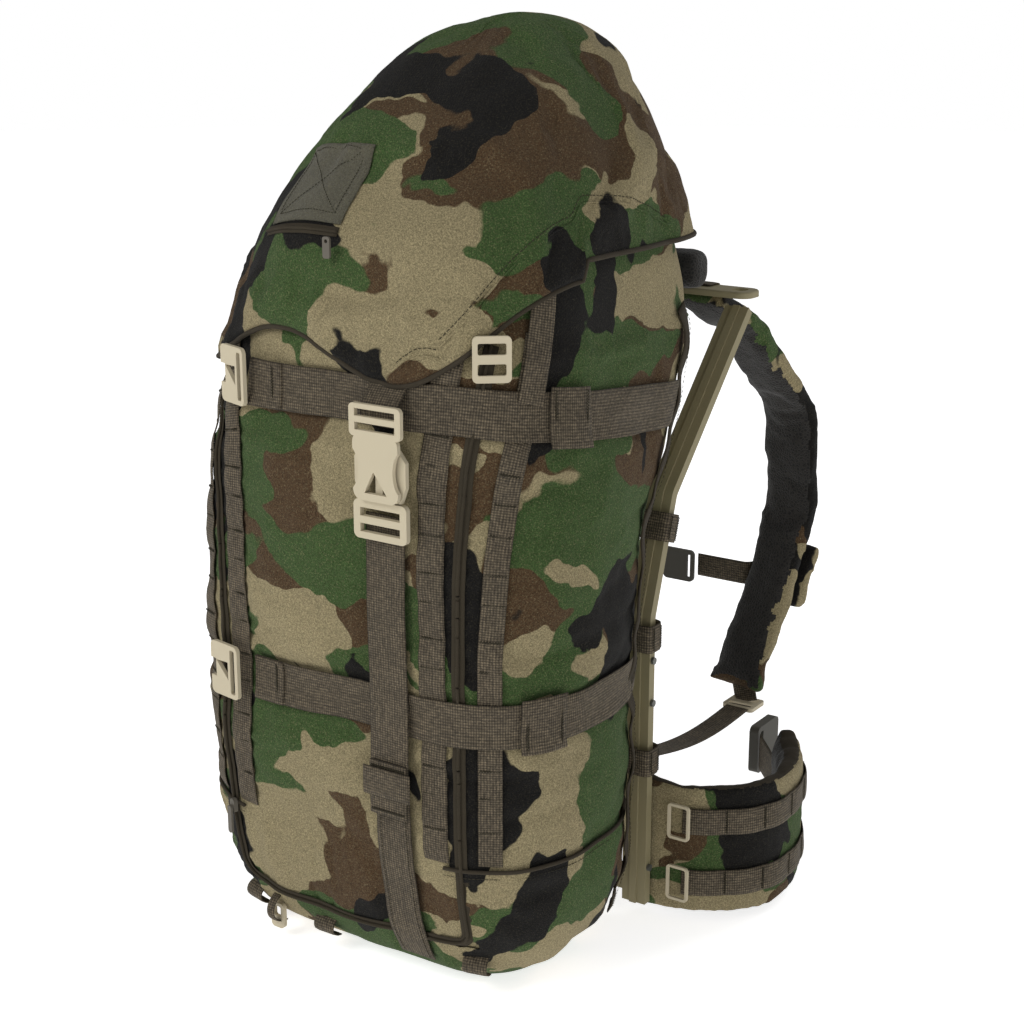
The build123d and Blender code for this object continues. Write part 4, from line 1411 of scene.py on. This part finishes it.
# ---------------------------------------------------------------- bands bent round something
def bent_band(name, heart, across, up, size, turns, width, body):
    """Webbing bent into a rounded rectangle about heart; past a full circle it overlaps itself."""
    power, count = 5, 64
    first, last = turns
    path, outs = [], []
    for i in range(count + 1):
        degrees = first + (last - first) * i / count
        c, s = math.cos(math.radians(degrees)), math.sin(math.radians(degrees))
        reach = (abs(c / size[0]) ** power + abs(s / size[1]) ** power) ** (-1 / power)
        over = THICK * min(1.0, max(0.0, (degrees - first - 330) / 30))
        slope = across * (math.copysign(abs(c * reach / size[0]) ** (power - 1), c) / size[0])
        slope += up * (math.copysign(abs(s * reach / size[1]) ** (power - 1), s) / size[1])
        outs.append(slope.normalized())
        path.append(heart + across * (c * reach) + up * (s * reach) + outs[-1] * over)
    return loose_tape(name, path, outs, width, body)


def split_heights(points, gap):
    """Groups of points, parted wherever their heights leave a gap."""
    groups = [[]]
    for p in sorted(points, key=lambda q: q.z):
        if groups[-1] and p.z - groups[-1][-1].z > gap:
            groups.append([])
        groups[-1].append(p)
    return groups


def band_axis(points, heart):
    """Axis in the YZ plane along which every corner of a straight ring lies equally far from its middle."""
    def spread(axis):
        far = [abs((p - heart).dot(axis)) for p in points]
        return max(far) - min(far)
    leans = [math.radians(degrees / 2) for degrees in range(-20, 120)]
    return min((Vector((0, math.sin(a), math.cos(a))) for a in leans), key=spread)


def make_stay_loops(stitches):
    """A band of webbing round each stay at every lacing point, tacked where it overlaps."""
    corners = [v.co.copy() for v in nodes["stay_loops"].data.vertices]
    across, made = RIGHT, []
    for side in (-1, 1):
        for ring in split_heights([p for p in corners if p.x * side > 0], 0.03):
            heart = sum(ring, Vector()) / len(ring)
            axis = band_axis(ring, heart)
            deep = axis.cross(across)
            size = [max(abs((p - heart).dot(u)) for p in ring) - THICK for u in (across, deep)]
            width = 2 * max(abs((p - heart).dot(axis)) for p in ring)
            made.append(bent_band("stay_loop", heart, across, deep, size, (60, 440), width, "pack"))
            for shift in (-0.6, 0.6):
                out = across * side
                spot = heart + out * (size[0] + THIN) + deep * (size[1] * shift)
                stitches.tack(spot, axis, out, width * 0.84)
    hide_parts("stay_loops")


def make_handle():
    """Haul handle: a band that stands up from its two ends."""
    low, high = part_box("haul_handle")
    heart = Vector(((low.x + high.x) / 2, (low.y + high.y) / 2, low.z))
    size = ((high.x - low.x) / 2 - THIN, high.z - low.z - THIN)
    band = bent_band("handle_band", heart, RIGHT, UP, size, (1, 179), high.y - low.y, "handle")
    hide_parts("haul_handle")


def make_hanging_strap():
    """Strap that the loose buckle at the left side hangs from."""
    low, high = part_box("side_buckle_strap")
    x, y = (low.x + high.x) / 2, (low.y + high.y) / 2
    path = straight(Vector((x, y, high.z)), Vector((x, y, low.z)), 20)
    strap = loose_tape("hanging_strap", path, -RIGHT, min(NARROW, high.y - low.y), "side_buckle_tab")
    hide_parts("side_buckle_strap")


# ---------------------------------------------------------------- CAD pieces that stay
def finish_cad():
    """Give each shown CAD node its material and soft edges."""
    for slot, names in SLOTS.items():
        for name in names:
            piece = nodes[name]
            piece.data.materials.clear()
            piece.data.materials.append(FINISH[slot])
            if piece.hide_render:
                continue
            bevel = piece.modifiers.new("edges", "BEVEL")
            bevel.width = 0.0009 if "plastic" in slot else 0.0004
            bevel.segments = 2
            bevel.limit_method = "ANGLE"
            bevel.angle_limit = math.radians(35)
            bevel.harden_normals = False


def main():
    make_stage()
    make_camera()
    pack_stitches, lid_stitches = Stitches(), Stitches()
    bag = make_bag()
    tree = make_bag_trim(bag, pack_stitches)
    boot = make_boot(bag, pack_stitches)
    make_compression(tree, pack_stitches)
    both = tree_of(bag, boot)
    make_front_strap(tree, pack_stitches)
    make_side_binding(both, pack_stitches)
    make_loose_loops(both)
    make_stay_loops(pack_stitches)
    make_handle()
    make_hanging_strap()
    lid = make_lid()
    make_lid_details(lid, lid_stitches)
    make_collar()
    pads = make_pads()
    harness_stitches = Stitches()
    for word in ("right", "left"):
        wing_stitches = Stitches()
        make_wing_webbing(pads, word, wing_stitches)
        wing_stitches.make(f"wing_stitching_{word}", f"wing_{word}")
        make_belt_tail(word)
        make_strap_webbing(pads, word, harness_stitches)
        make_strap_root(pads, word)
        make_sternum(pads, word, harness_stitches)
    make_lower_webbing()
    pack_stitches.make("pack_stitching", "pack")
    lid_stitches.make("lid_stitching", "lid_body")
    harness_stitches.make("harness_stitching", "harness")
    finish_cad()


main()
